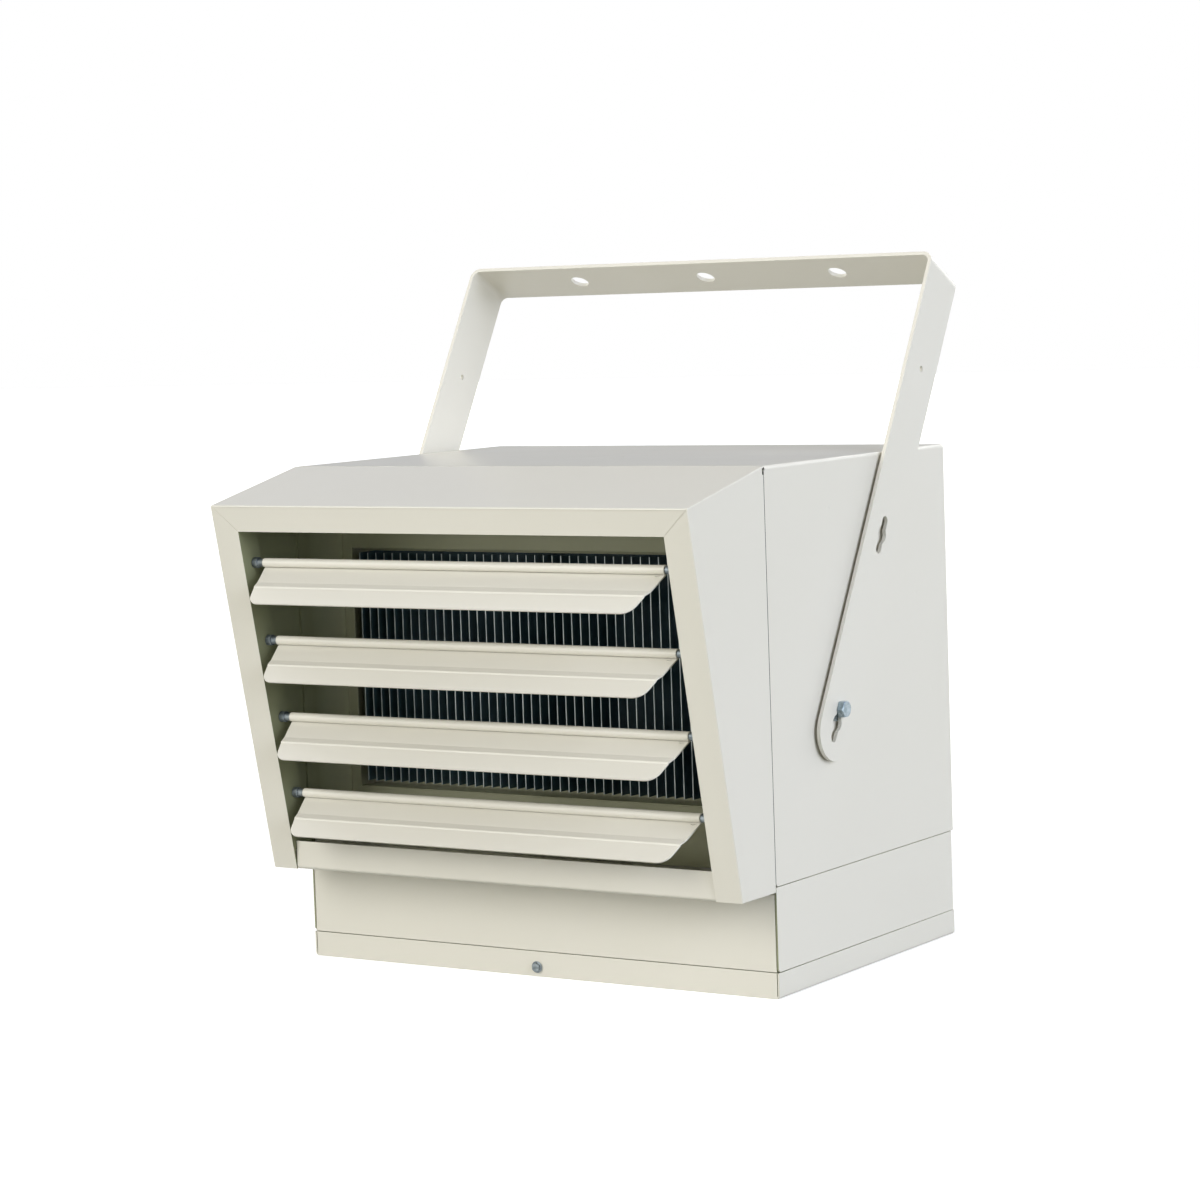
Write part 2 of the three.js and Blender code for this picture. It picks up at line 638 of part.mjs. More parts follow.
// The sloped top, both sides and the frame of the face, with a lap that slips into the cabinet.
function hoodShell() {
  const rear = FRONT - SEAM;
  const sideLine = [
    [rear, HEIGHT], [FACE_TOP.y, FACE_TOP.z], [FACE_BOTTOM.y, FACE_BOTTOM.z], [rear, HOOD_BOTTOM],
  ];
  const side = outline(sideLine);
  const slope = Math.atan2(HOOD_TOP_DROP, HOOD_TOP_REACH);
  const topThickness = SHEET / Math.cos(slope);
  const top = outline([
    [rear, HEIGHT], [FACE_TOP.y, FACE_TOP.z], [FACE_TOP.y, FACE_TOP.z - topThickness],
    [rear, HEIGHT - topThickness],
  ]);
  const parts = [
    slab(side, 'x', -HALF, -INNER),
    slab(side, 'x', INNER, HALF),
    slab(top, 'x', -HALF, HALF),
    faceSlab(rectangle(-HALF, 0, HALF, TOP_RAIL), 0, SHEET),
  ];
  for (const hand of [-1, 1]) {
    const stile = outward(hand, OPENING_HALF, HALF);
    const fold = outward(hand, OPENING_HALF, OPENING_HALF + SHEET);
    const lap = outward(hand, INSIDE - SHEET, INSIDE);
    const weld = outward(hand, INSIDE - SHEET, INNER + SHEET / 2);
    parts.push(faceSlab(rectangle(stile[0], 0, stile[1], FACE_LENGTH), 0, SHEET));
    parts.push(faceSlab(rectangle(fold[0], TOP_RAIL, fold[1], FACE_LENGTH - LAP), 0, STILE_RETURN));
    parts.push(box(...lap, rear - HOOD_WELD, FRONT + HOOD_LAP, WRAPPER_BOTTOM + LAP + 2, HEIGHT - LAP));
    parts.push(box(...weld, rear - HOOD_WELD, rear, WRAPPER_BOTTOM + LAP + 2, HEIGHT - LAP));
  }
  const cuts = [];
  for (let i = 0; i < LOUVRES; i += 1) {
    const pivot = louvrePivot(i);
    cuts.push(round('x', -OPENING_HALF - 4, OPENING_HALF + 4, pivot.y, pivot.z, PIVOT_SHANK + CLEARANCE, 12));
  }
  return joined(parts, cuts);
}

// The floor of the hood, its front edge turned up into a sill between the stiles.
function hoodBottom() {
  const stop = FRONT + LAP - 1;
  const sillEnd = OPENING_HALF - CLEARANCE;
  const sill = bentSheet([
    [stop, HOOD_BOTTOM], [SILL_FRONT, HOOD_BOTTOM], [SILL_FRONT, HOOD_BOTTOM + SILL_HEIGHT],
  ]);
  const shoulder = SILL_FRONT + SHEET + STILE_RETURN / 4;
  const parts = [
    slab(sill, 'x', -sillEnd, sillEnd),
    box(-INSIDE, INSIDE, shoulder, stop, HOOD_BOTTOM, HOOD_BOTTOM + SHEET),
  ];
  for (const hand of [-1, 1]) {
    const flange = outward(hand, INSIDE - SHEET, INSIDE);
    parts.push(box(...flange, shoulder, FRONT - LAP - 2, HOOD_BOTTOM, HOOD_BOTTOM + LAP));
  }
  return joined(parts);
}

function louvrePivot(i) {
  return onFace(LOUVRE_FIRST + i * LOUVRE_PITCH, LOUVRE_INSET);
}

// One blade about its pivot: a hem rolled round the pins, then a sheet with a low ridge in it.
// It is drawn flat, with the distance down the blade along X and the hem's axis along Y.
function louvreBlade() {
  const half = OPENING_HALF - LOUVRE_END_GAP;
  const root = LOUVRE_SHEET - LOUVRE_HEM;
  const ridge = LOUVRE_PANEL + LOUVRE_RIDGE;
  const section = bentSheet([
    [0, root], [LOUVRE_PANEL, root], [ridge, root + LOUVRE_RIDGE_RISE], [LOUVRE_REACH, root],
  ], LOUVRE_SHEET, LOUVRE_SHEET);
  const narrowed = half - LOUVRE_TAPER * (LOUVRE_REACH - LOUVRE_HEM);
  const plan = outline(filleted([
    [-LOUVRE_HEM - 1, -half], [LOUVRE_HEM, -half], [LOUVRE_REACH, -narrowed],
    [LOUVRE_REACH, narrowed], [LOUVRE_HEM, half], [-LOUVRE_HEM - 1, half],
  ], [0, 0, LOUVRE_CORNER, LOUVRE_CORNER, 0, 0], 4));
  const bore = PIVOT_PIN + CLEARANCE;
  const depth = PIVOT_PIN_DEPTH + CLEARANCE;
  const trimmed = solid(slab(section, 'y', -half, half)).intersect(solid(slab(plan, 'z', -20, 20)));
  const blade = trimmed
    .add(solid(round('y', -half, half, 0, 0, LOUVRE_HEM)))
    .subtract(solid(round('y', half - depth, half + 1, 0, 0, bore, 12)))
    .subtract(solid(round('y', -half - 1, depth - half, 0, 0, bore, 12)));
  const droop = radians(LOUVRE_DROOP);
  const down = vec(0, -Math.cos(droop), -Math.sin(droop));
  const turn = new THREE.Matrix4().makeBasis(down, X_AXIS, down.clone().cross(X_AXIS));
  return geometryOf(blade).applyMatrix4(turn);
}

// A zinc stud riveted into the stile's return, with a pin that goes into the blade's hem.
function louvrePivotStud(side) {
  const bladeEnd = OPENING_HALF - LOUVRE_END_GAP;
  const neck = bladeEnd + CLEARANCE;
  const seat = OPENING_HALF - CLEARANCE;
  const rivet = OPENING_HALF + SHEET + CLEARANCE;
  return joined([
    round('x', ...outward(side, bladeEnd - PIVOT_PIN_DEPTH, neck), 0, 0, PIVOT_PIN, 8),
    round('x', ...outward(side, neck, seat), 0, 0, PIVOT_NECK, 8),
    round('x', ...outward(side, (neck + seat) / 2, seat), 0, 0, PIVOT_COLLAR, 10),
    round('x', ...outward(side, seat, rivet), 0, 0, PIVOT_SHANK, 8),
    round('x', ...outward(side, rivet, rivet + SHEET), 0, 0, PIVOT_COLLAR, 10),
  ]);
}

piece('hood_shell', 'enamel', hoodShell());
piece('hood_bottom', 'enamel', hoodBottom());
for (let i = 0; i < LOUVRES; i += 1) {
  const pivot = louvrePivot(i);
  piece(`louver_${i + 1}`, 'enamel', louvreBlade()).position.copy(pivot);
  piece(`louver_pivot_left_${i + 1}`, 'zinc', louvrePivotStud(-1)).position.copy(pivot);
  piece(`louver_pivot_right_${i + 1}`, 'zinc', louvrePivotStud(1)).position.copy(pivot);
}

// ---------------------------------------------------------------- heating element

function rodHeights() {
  return Array.from({ length: RODS }, (_, i) => ROD_Z + (i - (RODS - 1) / 2) * ROD_PITCH);
}

// The plate round the element, which makes all the air go through the fins.
function elementBaffle() {
  const top = HEIGHT - SHEET - SEAM;
  const plate = rectangle(-INSIDE, DIVIDER_TOP + SEAM + CLEARANCE, INSIDE, top);
  const window = FIN_EDGE + ELEMENT_BORDER;
  plate.holes.push(rectangle(-window, FIN_BOTTOM - ELEMENT_BORDER, window, FIN_TOP + ELEMENT_BORDER));
  const parts = [slab(plate, 'y', BAFFLE_FRONT, BAFFLE_REAR)];
  for (const side of [-1, 1]) {
    const flange = outward(side, INSIDE - SHEET, INSIDE);
    parts.push(box(...flange, BAFFLE_REAR - SHEET / 2, BAFFLE_REAR + LAP, DIVIDER_TOP + LAP + 2, top - LAP));
  }
  const cuts = [round('y', BAFFLE_FRONT - 1, BAFFLE_REAR + 1, ...cutoutPlace(), SCREW_RADIUS + CLEARANCE, 8)];
  for (const side of [-1, 1]) {
    const notch = outward(side, INSIDE - SHEET - CLEARANCE, HALF);
    cuts.push(box(...notch, BAFFLE_FRONT - 1, BAFFLE_REAR + 1, 0, DIVIDER_TOP + LAP + CLEARANCE));
  }
  return joined(parts, cuts);
}

function cutoutPlace() {
  return [FIN_EDGE / 3, (FIN_TOP + ELEMENT_BORDER + HEIGHT) / 2];
}

// Three sheathed rods through a pack of plate fins, their ends bent back to the terminals.
function heatingElement() {
  const parts = [];
  for (const z of rodHeights()) {
    const tail = ROD_Y + ROD_TAIL;
    const corners = [vec(-ROD_X, tail, z), vec(-ROD_X, ROD_Y, z), vec(ROD_X, ROD_Y, z), vec(ROD_X, tail, z)];
    parts.push(tube(corners, ROD_RADIUS, ROD_BEND, 6));
    for (const x of [-ROD_X, ROD_X]) {
      parts.push(round('y', tail, tail + TERMINAL_LENGTH, x, z, TERMINAL_RADIUS, 6));
    }
  }
  const strap = ROD_Y + ROD_TAIL + TERMINAL_LENGTH / 2;
  for (const x of [-ROD_X, ROD_X]) {
    parts.push(box(x - ROD_RADIUS, x + ROD_RADIUS, strap, strap + SHEET,
      rodHeights()[0] - ROD_RADIUS, rodHeights().at(-1) + ROD_RADIUS));
  }
  for (let i = 0; i <= FIN_GAPS; i += 1) {
    const x = i * FIN_PITCH - FIN_EDGE - FIN_SHEET / 2;
    parts.push(box(x, x + FIN_SHEET, FIN_FRONT, FIN_REAR, FIN_BOTTOM, FIN_TOP));
  }
  return joined(parts);
}

// An angle on the cabinet wall that holds the rod ends, side -1 on the left and 1 on the right.
function elementBracket(side) {
  const front = FIN_REAR + ROD_BRACKET_INSET;
  const low = rodHeights()[0] - LAP;
  const high = rodHeights().at(-1) + LAP;
  const cuts = rodHeights().map((z) => round('y', front - 1, front + SHEET + 1, side * ROD_X, z,
    ROD_RADIUS + CLEARANCE, 12));
  return joined([
    box(...outward(side, INSIDE - ROD_BRACKET_WIDTH, INSIDE), front, front + SHEET, low, high),
    box(...outward(side, INSIDE - SHEET, INSIDE), front, front + LAP, low, high),
  ], cuts);
}

piece('element_baffle', 'enamel', elementBaffle());
piece('heating_element', 'blackFin', heatingElement());
piece('element_bracket_left', 'steel', elementBracket(-1));
piece('element_bracket_right', 'steel', elementBracket(1));

// ---------------------------------------------------------------- motor, fan and guard

// The motor stands on the divider plate and its shaft points to the rear.
function motorStand() {
  const foot = DIVIDER_TOP + CLEARANCE;
  const top = FAN_AXIS + MOTOR_RADIUS;
  const half = STAND_WIDTH / 2;
  const section = bentSheet([
    [STAND_REAR - STAND_FOOT, foot], [STAND_REAR, foot], [STAND_REAR, top],
  ].reverse(), STAND_SHEET, STAND_SHEET);
  const cuts = [round('y', STAND_FRONT - 1, STAND_REAR + 1, 0, FAN_AXIS, HUB_RADIUS)];
  for (const x of [-MOTOR_BOLT_SPREAD, MOTOR_BOLT_SPREAD]) {
    cuts.push(round('y', STAND_FRONT - 1, STAND_REAR + 1, x, FAN_AXIS, DOOR_SCREW_RADIUS + CLEARANCE, 12));
  }
  return joined([slab(section, 'x', -half, half)], cuts);
}

function fanMotor() {
  const waist = MOTOR_RADIUS - MOTOR_WAIST;
  const rim = MOTOR_RADIUS - MOTOR_BELL;
  const step = MOTOR_BELL * 2;
  const bore = SHAFT_RADIUS + CLEARANCE;
  const body = turned([
    [0, 0], [rim, 0], [MOTOR_RADIUS, MOTOR_BELL], [MOTOR_RADIUS, step], [waist, step],
    [waist, MOTOR_LENGTH - step], [MOTOR_RADIUS, MOTOR_LENGTH - step],
    [MOTOR_RADIUS, MOTOR_LENGTH - MOTOR_BELL], [rim, MOTOR_LENGTH], [SHAFT_RADIUS * 2.5, MOTOR_LENGTH],
    [SHAFT_RADIUS * 2.2, MOTOR_LENGTH + 3], [bore, MOTOR_LENGTH + 3], [bore, step], [0, step],
  ]).translate(0, MOTOR_FRONT, FAN_AXIS);
  const bolt = DOOR_SCREW_RADIUS + CLEARANCE;
  const holes = [-MOTOR_BOLT_SPREAD, MOTOR_BOLT_SPREAD].map((x) => (
    round('y', MOTOR_FRONT - 1, MOTOR_FRONT + 9, x, FAN_AXIS, bolt, 12)));
  return joined([body], holes);
}

function motorShaft() {
  const start = MOTOR_FRONT + 2 * MOTOR_BELL + CLEARANCE;
  return round('y', start, FAN_Y + HUB_LENGTH / 2 + 2, 0, FAN_AXIS, SHAFT_RADIUS, 12);
}

// Five flat blades set at a pitch round a turned hub.
function fanBlade() {
  const root = HUB_RADIUS - 4;
  const parts = [turned([
    [SHAFT_RADIUS + CLEARANCE, -HUB_LENGTH / 2], [HUB_RADIUS - 2, -HUB_LENGTH / 2],
    [HUB_RADIUS, -HUB_LENGTH / 2 + 2], [HUB_RADIUS, HUB_LENGTH / 2 - 2],
    [HUB_RADIUS - 2, HUB_LENGTH / 2], [SHAFT_RADIUS + CLEARANCE, HUB_LENGTH / 2],
    [SHAFT_RADIUS + CLEARANCE, -HUB_LENGTH / 2],
  ])];
  const shape = new THREE.Shape();
  const at = (share, widths) => [BLADE_RADIUS * share, BLADE_ROOT * widths];
  const near = (lengths, widths) => [root + BLADE_ROOT * lengths, BLADE_ROOT * widths];
  shape.moveTo(...near(0, -1));
  shape.bezierCurveTo(...near(2.5, -2), ...at(0.6, -4.25), ...at(0.93, -3.875));
  shape.quadraticCurveTo(...at(1, -3.5), ...at(0.975, -0.5));
  shape.quadraticCurveTo(...at(0.96, 3.25), ...at(0.88, 3.5));
  shape.bezierCurveTo(...at(0.6, 3.25), ...near(3, 1.75), ...near(0, 1));
  shape.closePath();
  for (let i = 0; i < BLADES; i += 1) {
    const options = { depth: BLADE_SHEET, bevelEnabled: false, curveSegments: 4 };
    const blade = new THREE.ExtrudeGeometry(shape, options);
    blade.translate(0, 0, -BLADE_SHEET / 2);
    blade.applyMatrix4(new THREE.Matrix4().makeBasis(X_AXIS, vec(0, 0, -1), Y_AXIS));
    blade.rotateX(radians(BLADE_PITCH));
    blade.rotateY(i / BLADES * 2 * Math.PI);
    parts.push(blade);
  }
  return joined(parts).translate(0, FAN_Y, FAN_AXIS);
}

function guardLugPlaces() {
  return [1, 3, 5, 7].map((k) => {
    const turn = radians(GUARD_LUG_ANGLE * k);
    return [GUARD_LUG_RADIUS * Math.cos(turn), FAN_AXIS + GUARD_LUG_RADIUS * Math.sin(turn)];
  });
}

// Wire rings on two crossing spokes, with a screw lug at each of their four ends.
function fanGuard() {
  const seat = PANEL_REAR + CLEARANCE;
  const spokeY = seat + GUARD_WIRE;
  const ringY = spokeY + GUARD_WIRE * 1.4;
  const parts = [];
  for (let i = 0; i < GUARD_RINGS; i += 1) {
    const radius = GUARD_INNER + i * GUARD_PITCH;
    const ring = new THREE.TorusGeometry(radius, GUARD_WIRE, 4, 24);
    parts.push(ring.rotateX(Math.PI / 2).translate(0, ringY, FAN_AXIS));
  }
  const reach = GUARD_LUG_RADIUS - SCREW_HEAD - GUARD_WIRE;
  for (const k of [1, 3]) {
    const spoke = slab(rectangle(-reach, -GUARD_WIRE, reach, GUARD_WIRE), 'y', seat, seat + 2 * GUARD_WIRE);
    parts.push(spoke.rotateY(radians(GUARD_LUG_ANGLE * k)).translate(0, 0, FAN_AXIS));
  }
  for (const [x, z] of guardLugPlaces()) {
    parts.push(round('y', seat, seat + SHEET, x, z, GUARD_LUG, 12));
  }
  parts.push(round('y', seat, ringY + GUARD_WIRE, 0, FAN_AXIS, GUARD_INNER / 2, 16));
  const holes = guardLugPlaces().map(([x, z]) => (
    round('y', seat - 1, seat + 9, x, z, SCREW_RADIUS + CLEARANCE, 8)));
  return joined(parts, holes);
}

piece('motor_stand', 'steel', motorStand());
piece('fan_motor', 'motor', fanMotor());
piece('motor_shaft', 'steel', motorShaft());
piece('fan_blade', 'aluminium', fanBlade());
piece('fan_guard', 'zinc', fanGuard());
[-MOTOR_BOLT_SPREAD, MOTOR_BOLT_SPREAD].forEach((x, i) => {
  piece(`motor_screw_${i + 1}`, 'zinc', screwAlongY(x, FAN_AXIS, STAND_FRONT, -1, 9,
    DOOR_SCREW_RADIUS, DOOR_SCREW_HEAD, SCREW_HEAD_HEIGHT, 6));
});
guardLugPlaces().forEach(([x, z], i) => {
  piece(`guard_screw_${i + 1}`, 'zinc', screwAlongY(x, z, PANEL_REAR + CLEARANCE + SHEET, 1, 7,
    SCREW_RADIUS, SCREW_HEAD, SCREW_HEAD_HEIGHT));
});

// ---------------------------------------------------------------- hanging bracket

// Two discs and a slot across them, as one outline in the (y, z) plane of an arm.
function keyholeCuts(x0, x1, at) {
  const end = KEYHOLE_LENGTH / 2 - KEYHOLE_SLOT;
  return [
    slab(rectangle(-KEYHOLE_SLOT, at - end, KEYHOLE_SLOT, at + end), 'x', x0, x1),
    round('x', x0, x1, 0, at - end, KEYHOLE_SLOT, 12),
    round('x', x0, x1, 0, at + end, KEYHOLE_SLOT, 12),
    round('x', x0, x1, 0, at, KEYHOLE_RADIUS, 16),
  ];
}

// One flat bar bent to a U. It is drawn upright about its bolts and then leant back.
function mountingBracket() {
  const half = BRACKET_WIDTH / 2;
  const section = bentSheet([
    [-ARM_OUTER, -BRACKET_TAIL], [-ARM_OUTER, BRACKET_REACH],
    [ARM_OUTER, BRACKET_REACH], [ARM_OUTER, -BRACKET_TAIL],
  ], BRACKET_THICKNESS, BRACKET_BEND);
  const bar = solid(slab(section, 'y', -half, half));
  const ends = new THREE.Shape();
  ends.moveTo(half, BRACKET_REACH + 1);
  ends.lineTo(-half, BRACKET_REACH + 1);
  ends.lineTo(-half, half - BRACKET_TAIL);
  ends.absarc(0, half - BRACKET_TAIL, half, Math.PI, 2 * Math.PI, false);
  ends.closePath();
  let body = bar.intersect(solid(slab(ends, 'x', -ARM_OUTER - 1, ARM_OUTER + 1)));
  const lowerAt = KEYHOLE_SLOT - KEYHOLE_LENGTH / 2;
  const cuts = [
    ...keyholeCuts(-ARM_OUTER - 1, ARM_OUTER + 1, lowerAt),
    ...keyholeCuts(-ARM_OUTER - 1, ARM_OUTER + 1, KEYHOLE_UPPER_AT),
    round('x', -ARM_OUTER - 1, ARM_OUTER + 1, 0, BRACKET_SMALL_HOLE_AT, BRACKET_SMALL_HOLE, 8),
  ];
  for (const x of [-BRACKET_HOLE_SPREAD, 0, BRACKET_HOLE_SPREAD]) {
    cuts.push(round('z', BRACKET_REACH - 9, BRACKET_REACH + 9, x, 0, BRACKET_HOLE, 16));
  }
  for (const cut of cuts) {
    body = body.subtract(solid(cut));
  }
  return geometryOf(body);
}

const lean = new THREE.Group();
lean.position.set(0, PIVOT_Y, PIVOT_Z);
lean.rotation.x = -radians(BRACKET_LEAN);
heater.add(lean);
piece('mounting_bracket', 'enamel', mountingBracket(), lean);

// Bolts go through the arms and washers into nuts welded inside the cabinet walls.
const BOLT_TIP = INNER - CLEARANCE - NUT_THICKNESS - 2;

for (const [name, side] of [['left', -1], ['right', 1]]) {
  const seat = ARM_OUTER + CLEARANCE;
  piece(`bracket_bolt_${name}`, 'zinc', joined([
    round('x', ...outward(side, seat, seat + BOLT_HEAD_HEIGHT), PIVOT_Y, PIVOT_Z, BOLT_HEAD, 6),
    round('x', ...outward(side, BOLT_TIP, seat), PIVOT_Y, PIVOT_Z, BOLT_RADIUS, 12),
  ]));
  piece(`bracket_washer_${name}`, 'zinc', joined(
    [round('x', ...outward(side, HALF + CLEARANCE, WASHER_FACE), PIVOT_Y, PIVOT_Z, WASHER_RADIUS, 20)],
    [round('x', ...outward(side, HALF, ARM_INNER), PIVOT_Y, PIVOT_Z, BOLT_RADIUS + CLEARANCE, 12)],
  ));
  const nutHalf = NUT_WIDTH / 2;
  piece(`weld_nut_${name}`, 'zinc', joined(
    [box(...outward(side, INNER - CLEARANCE - NUT_THICKNESS, INNER - CLEARANCE),
      PIVOT_Y - nutHalf, PIVOT_Y + nutHalf, PIVOT_Z - nutHalf, PIVOT_Z + nutHalf)],
    [round('x', ...outward(side, BOLT_TIP - 1, HALF), PIVOT_Y, PIVOT_Z, BOLT_RADIUS + CLEARANCE, 12)],
  ));
}

// ---------------------------------------------------------------- electrical parts

// Three clamp screws in open pockets, hung upside down under the divider plate.
function terminalBlock() {
  const bottom = UNDER_SHELF - TERMINAL_BLOCK_HEIGHT;
  const rear = TERMINAL_BLOCK_FRONT + TERMINAL_BLOCK_DEPTH;
  const block = box(TERMINAL_BLOCK_LEFT, TERMINAL_BLOCK_RIGHT, TERMINAL_BLOCK_FRONT, rear,
    bottom, UNDER_SHELF);
  const pockets = [];
  const screws = [];
  for (let i = 0; i < 3; i += 1) {
    const x = TERMINAL_BLOCK_LEFT + (i + 0.5) * TERMINAL_PITCH;
    pockets.push(box(x - 7.5, x + 7.5, TERMINAL_Y - 5, TERMINAL_Y + 5, bottom - 1, bottom + 6));
    screws.push(round('z', bottom + 3, bottom + 7, x, TERMINAL_Y, 3.4, 8));
  }
  return joined([joined([block], pockets), ...screws]);
}

// A foot, the body and the coil's cover, one under another.
function contactor() {
  const right = CONTACTOR_LEFT + CONTACTOR_WIDTH;
  const bottom = UNDER_SHELF - CONTACTOR_HEIGHT;
  return joined([
    box(CONTACTOR_LEFT - 4, right + 4, CONTACTOR_FRONT - 8, CONTACTOR_REAR + 8, UNDER_SHELF - 4, UNDER_SHELF),
    box(CONTACTOR_LEFT, right, CONTACTOR_FRONT, CONTACTOR_REAR, bottom, UNDER_SHELF - 4),
    box(CONTACTOR_LEFT + 6, right - 6, CONTACTOR_FRONT + 8, CONTACTOR_REAR - 8, bottom - 8, bottom),
  ]);
}

function fanDelayRelay() {
  const right = RELAY_LEFT + RELAY_WIDTH;
  const bottom = UNDER_SHELF - RELAY_HEIGHT;
  const tabs = [RELAY_LEFT + 9, right - 10].map((x) => box(x - 4, x + 4, 2, 8, bottom - 7, bottom));
  return joined([
    box(RELAY_LEFT, right, RELAY_FRONT, RELAY_FRONT + RELAY_DEPTH, bottom, UNDER_SHELF), ...tabs,
  ]);
}

// A round safety switch on the rear of the baffle, above the fins.
function thermalCutout() {
  const [x, z] = cutoutPlace();
  const face = BAFFLE_REAR + CLEARANCE;
  const end = face + CUTOUT_HEIGHT;
  const tabs = [x - 4.5, x + 4.5].map((middle) => (
    box(middle - 1.5, middle + 1.5, end - 1, end + 7, z - 3, z + 3)));
  return joined([
    round('y', face, face + SHEET, x, z, CUTOUT_RADIUS + 2.5),
    round('y', face, end, x, z, CUTOUT_RADIUS),
    ...tabs,
  ]);
}

// The earth screw and the tongue of its wire.
function groundLug() {
  return joined([
    round('z', UNDER_SHELF - 2, UNDER_SHELF, EARTH_X, EARTH_Y, 5, 12),
    box(EARTH_X - 4, EARTH_X + 4, EARTH_Y, EARTH_Y + 16, UNDER_SHELF - 2, UNDER_SHELF),
    round('z', UNDER_SHELF - 6, UNDER_SHELF - 1, EARTH_X, EARTH_Y, 3.4, 6),
  ]);
}

function wiringGrommet() {
  const lip = 2;
  const inner = GROMMET_RADIUS - 2.2;
  const profile = [
    [inner, -lip], [GROMMET_RADIUS + lip, -lip], [GROMMET_RADIUS + lip, -CLEARANCE],
    [GROMMET_RADIUS - CLEARANCE, -CLEARANCE], [GROMMET_RADIUS - CLEARANCE, SHEET + CLEARANCE],
    [GROMMET_RADIUS + lip, SHEET + CLEARANCE], [GROMMET_RADIUS + lip, SHEET + lip], [inner, SHEET + lip],
    [inner, -lip],
  ];
  return turned(profile, 20).rotateX(Math.PI / 2).translate(GROMMET_X, GROMMET_Y, DIVIDER_BOTTOM);
}

// Wires run from the contactor and relay up through the grommet, one on each third of its hole.
function grommetPlace(third) {
  const turn = radians(90 + third * 120);
  return [GROMMET_X + 3 * Math.cos(turn), GROMMET_Y + 3 * Math.sin(turn)];
}

function wire(corners) {
  return tube(corners.map((corner) => vec(...corner)), WIRE_RADIUS, WIRE_BEND);
}

function elementWire(side) {
  const left = side < 0;
  const [gx, gy] = grommetPlace(left ? 1 : 2);
  const level = UNDER_SHELF - (left ? 20 : 36);
  const start = CONTACTOR_LEFT - CLEARANCE;
  const exit = CONTACTOR_REAR - (left ? 2 : 17);
  const below = [[start, exit, level], [left ? gx : GROMMET_X + 30, exit, level]];
  const above = left ? [[gx, gy, 96]] : [[gx, gy, 87], [150, gy, 87]];
  const rod = rodHeights()[0];
  const end = ROD_Y + ROD_TAIL + TERMINAL_LENGTH + CLEARANCE;
  return wire([
    ...below, [gx, gy, level], ...above, [side * ROD_X, 40, rod], [side * ROD_X, end, rod],
  ]);
}

function motorWire() {
  const [gx, gy] = grommetPlace(0);
  const low = UNDER_SHELF - 27;
  const exit = RELAY_FRONT + 36;
  const turn = RELAY_LEFT - 13;
  const motorSide = MOTOR_RADIUS - MOTOR_WAIST + CLEARANCE;
  return wire([
    [RELAY_LEFT - CLEARANCE, exit, low + 7], [turn, exit, low + 7], [turn, gy, low], [gx, gy, low],
    [gx, gy, 120], [GROMMET_X + 30, gy, FAN_AXIS - 5], [-motorSide, gy, FAN_AXIS - 5],
  ]);
}

function supplyWire() {
  const level = UNDER_SHELF - 14;
  return wire([
    [TERMINAL_BLOCK_RIGHT + CLEARANCE, TERMINAL_Y + 3, level],
    [CONTACTOR_LEFT + CONTACTOR_WIDTH / 2, TERMINAL_Y + 3, level],
    [CONTACTOR_LEFT + CONTACTOR_WIDTH / 2, CONTACTOR_REAR + CLEARANCE, level],
  ]);
}

piece('terminal_block', 'blackPlastic', terminalBlock());
piece('contactor', 'blackPlastic', contactor());
piece('fan_delay_relay', 'greyPlastic', fanDelayRelay());
piece('thermal_cutout', 'greyPlastic', thermalCutout());
piece('ground_lug', 'zinc', groundLug());
piece('wiring_grommet', 'rubber', wiringGrommet());
piece('element_wire_left', 'redWire', elementWire(-1));
piece('element_wire_right', 'redWire', elementWire(1));
piece('motor_wire', 'blackWire', motorWire());
piece('supply_wire', 'blackWire', supplyWire());

export default heater;
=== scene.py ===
"""Looks of a ceiling mounted fan heater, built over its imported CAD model.

Forms are worked on in millimetres and shown in metres. +Z is up, the outlet faces -Y and +X is
on the right of someone who faces it. The origin is the centre of the flat base.
"""

import json
import logging
import math
from dataclasses import dataclass, replace
from enum import Enum
from typing import Callable, Iterable, Sequence

import bmesh
import bpy
from mathutils import Matrix, Vector


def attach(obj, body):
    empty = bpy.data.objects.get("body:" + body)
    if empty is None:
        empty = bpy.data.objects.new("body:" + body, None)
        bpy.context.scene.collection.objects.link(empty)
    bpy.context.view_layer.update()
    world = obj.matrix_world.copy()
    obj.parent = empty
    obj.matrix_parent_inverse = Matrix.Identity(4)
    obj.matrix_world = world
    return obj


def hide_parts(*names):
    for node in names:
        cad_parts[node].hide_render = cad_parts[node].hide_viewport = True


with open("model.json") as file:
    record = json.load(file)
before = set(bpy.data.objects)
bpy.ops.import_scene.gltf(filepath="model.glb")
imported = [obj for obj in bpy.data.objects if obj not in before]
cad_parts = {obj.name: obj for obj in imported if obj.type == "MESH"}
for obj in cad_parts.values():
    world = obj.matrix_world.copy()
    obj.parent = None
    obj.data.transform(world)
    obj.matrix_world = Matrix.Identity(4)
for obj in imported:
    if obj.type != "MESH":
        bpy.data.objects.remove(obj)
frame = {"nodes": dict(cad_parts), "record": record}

LOG = logging.getLogger("fan_heater")
MM = 0.001
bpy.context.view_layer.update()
BODIES = frame["record"]["behaviour"]["bodies"]
BODY_OF = {node: body for body, nodes in BODIES.items() for node in nodes}

Point = Sequence[float]
Colour = tuple[float, float, float, float]
Socket = bpy.types.NodeSocket
FaceTest = Callable[[Vector, Vector], bool]

RIGHTWARD, REARWARD, FORWARD, DOWNWARD = (1, 0, 0), (0, 1, 0), (0, -1, 0), (0, 0, -1)

# Corners closer than these, in millimetres, are one: in a new form, and in a copy of the CAD.
SAME_PLACE = 1e-4
SAME_CAD_PLACE = 3e-3

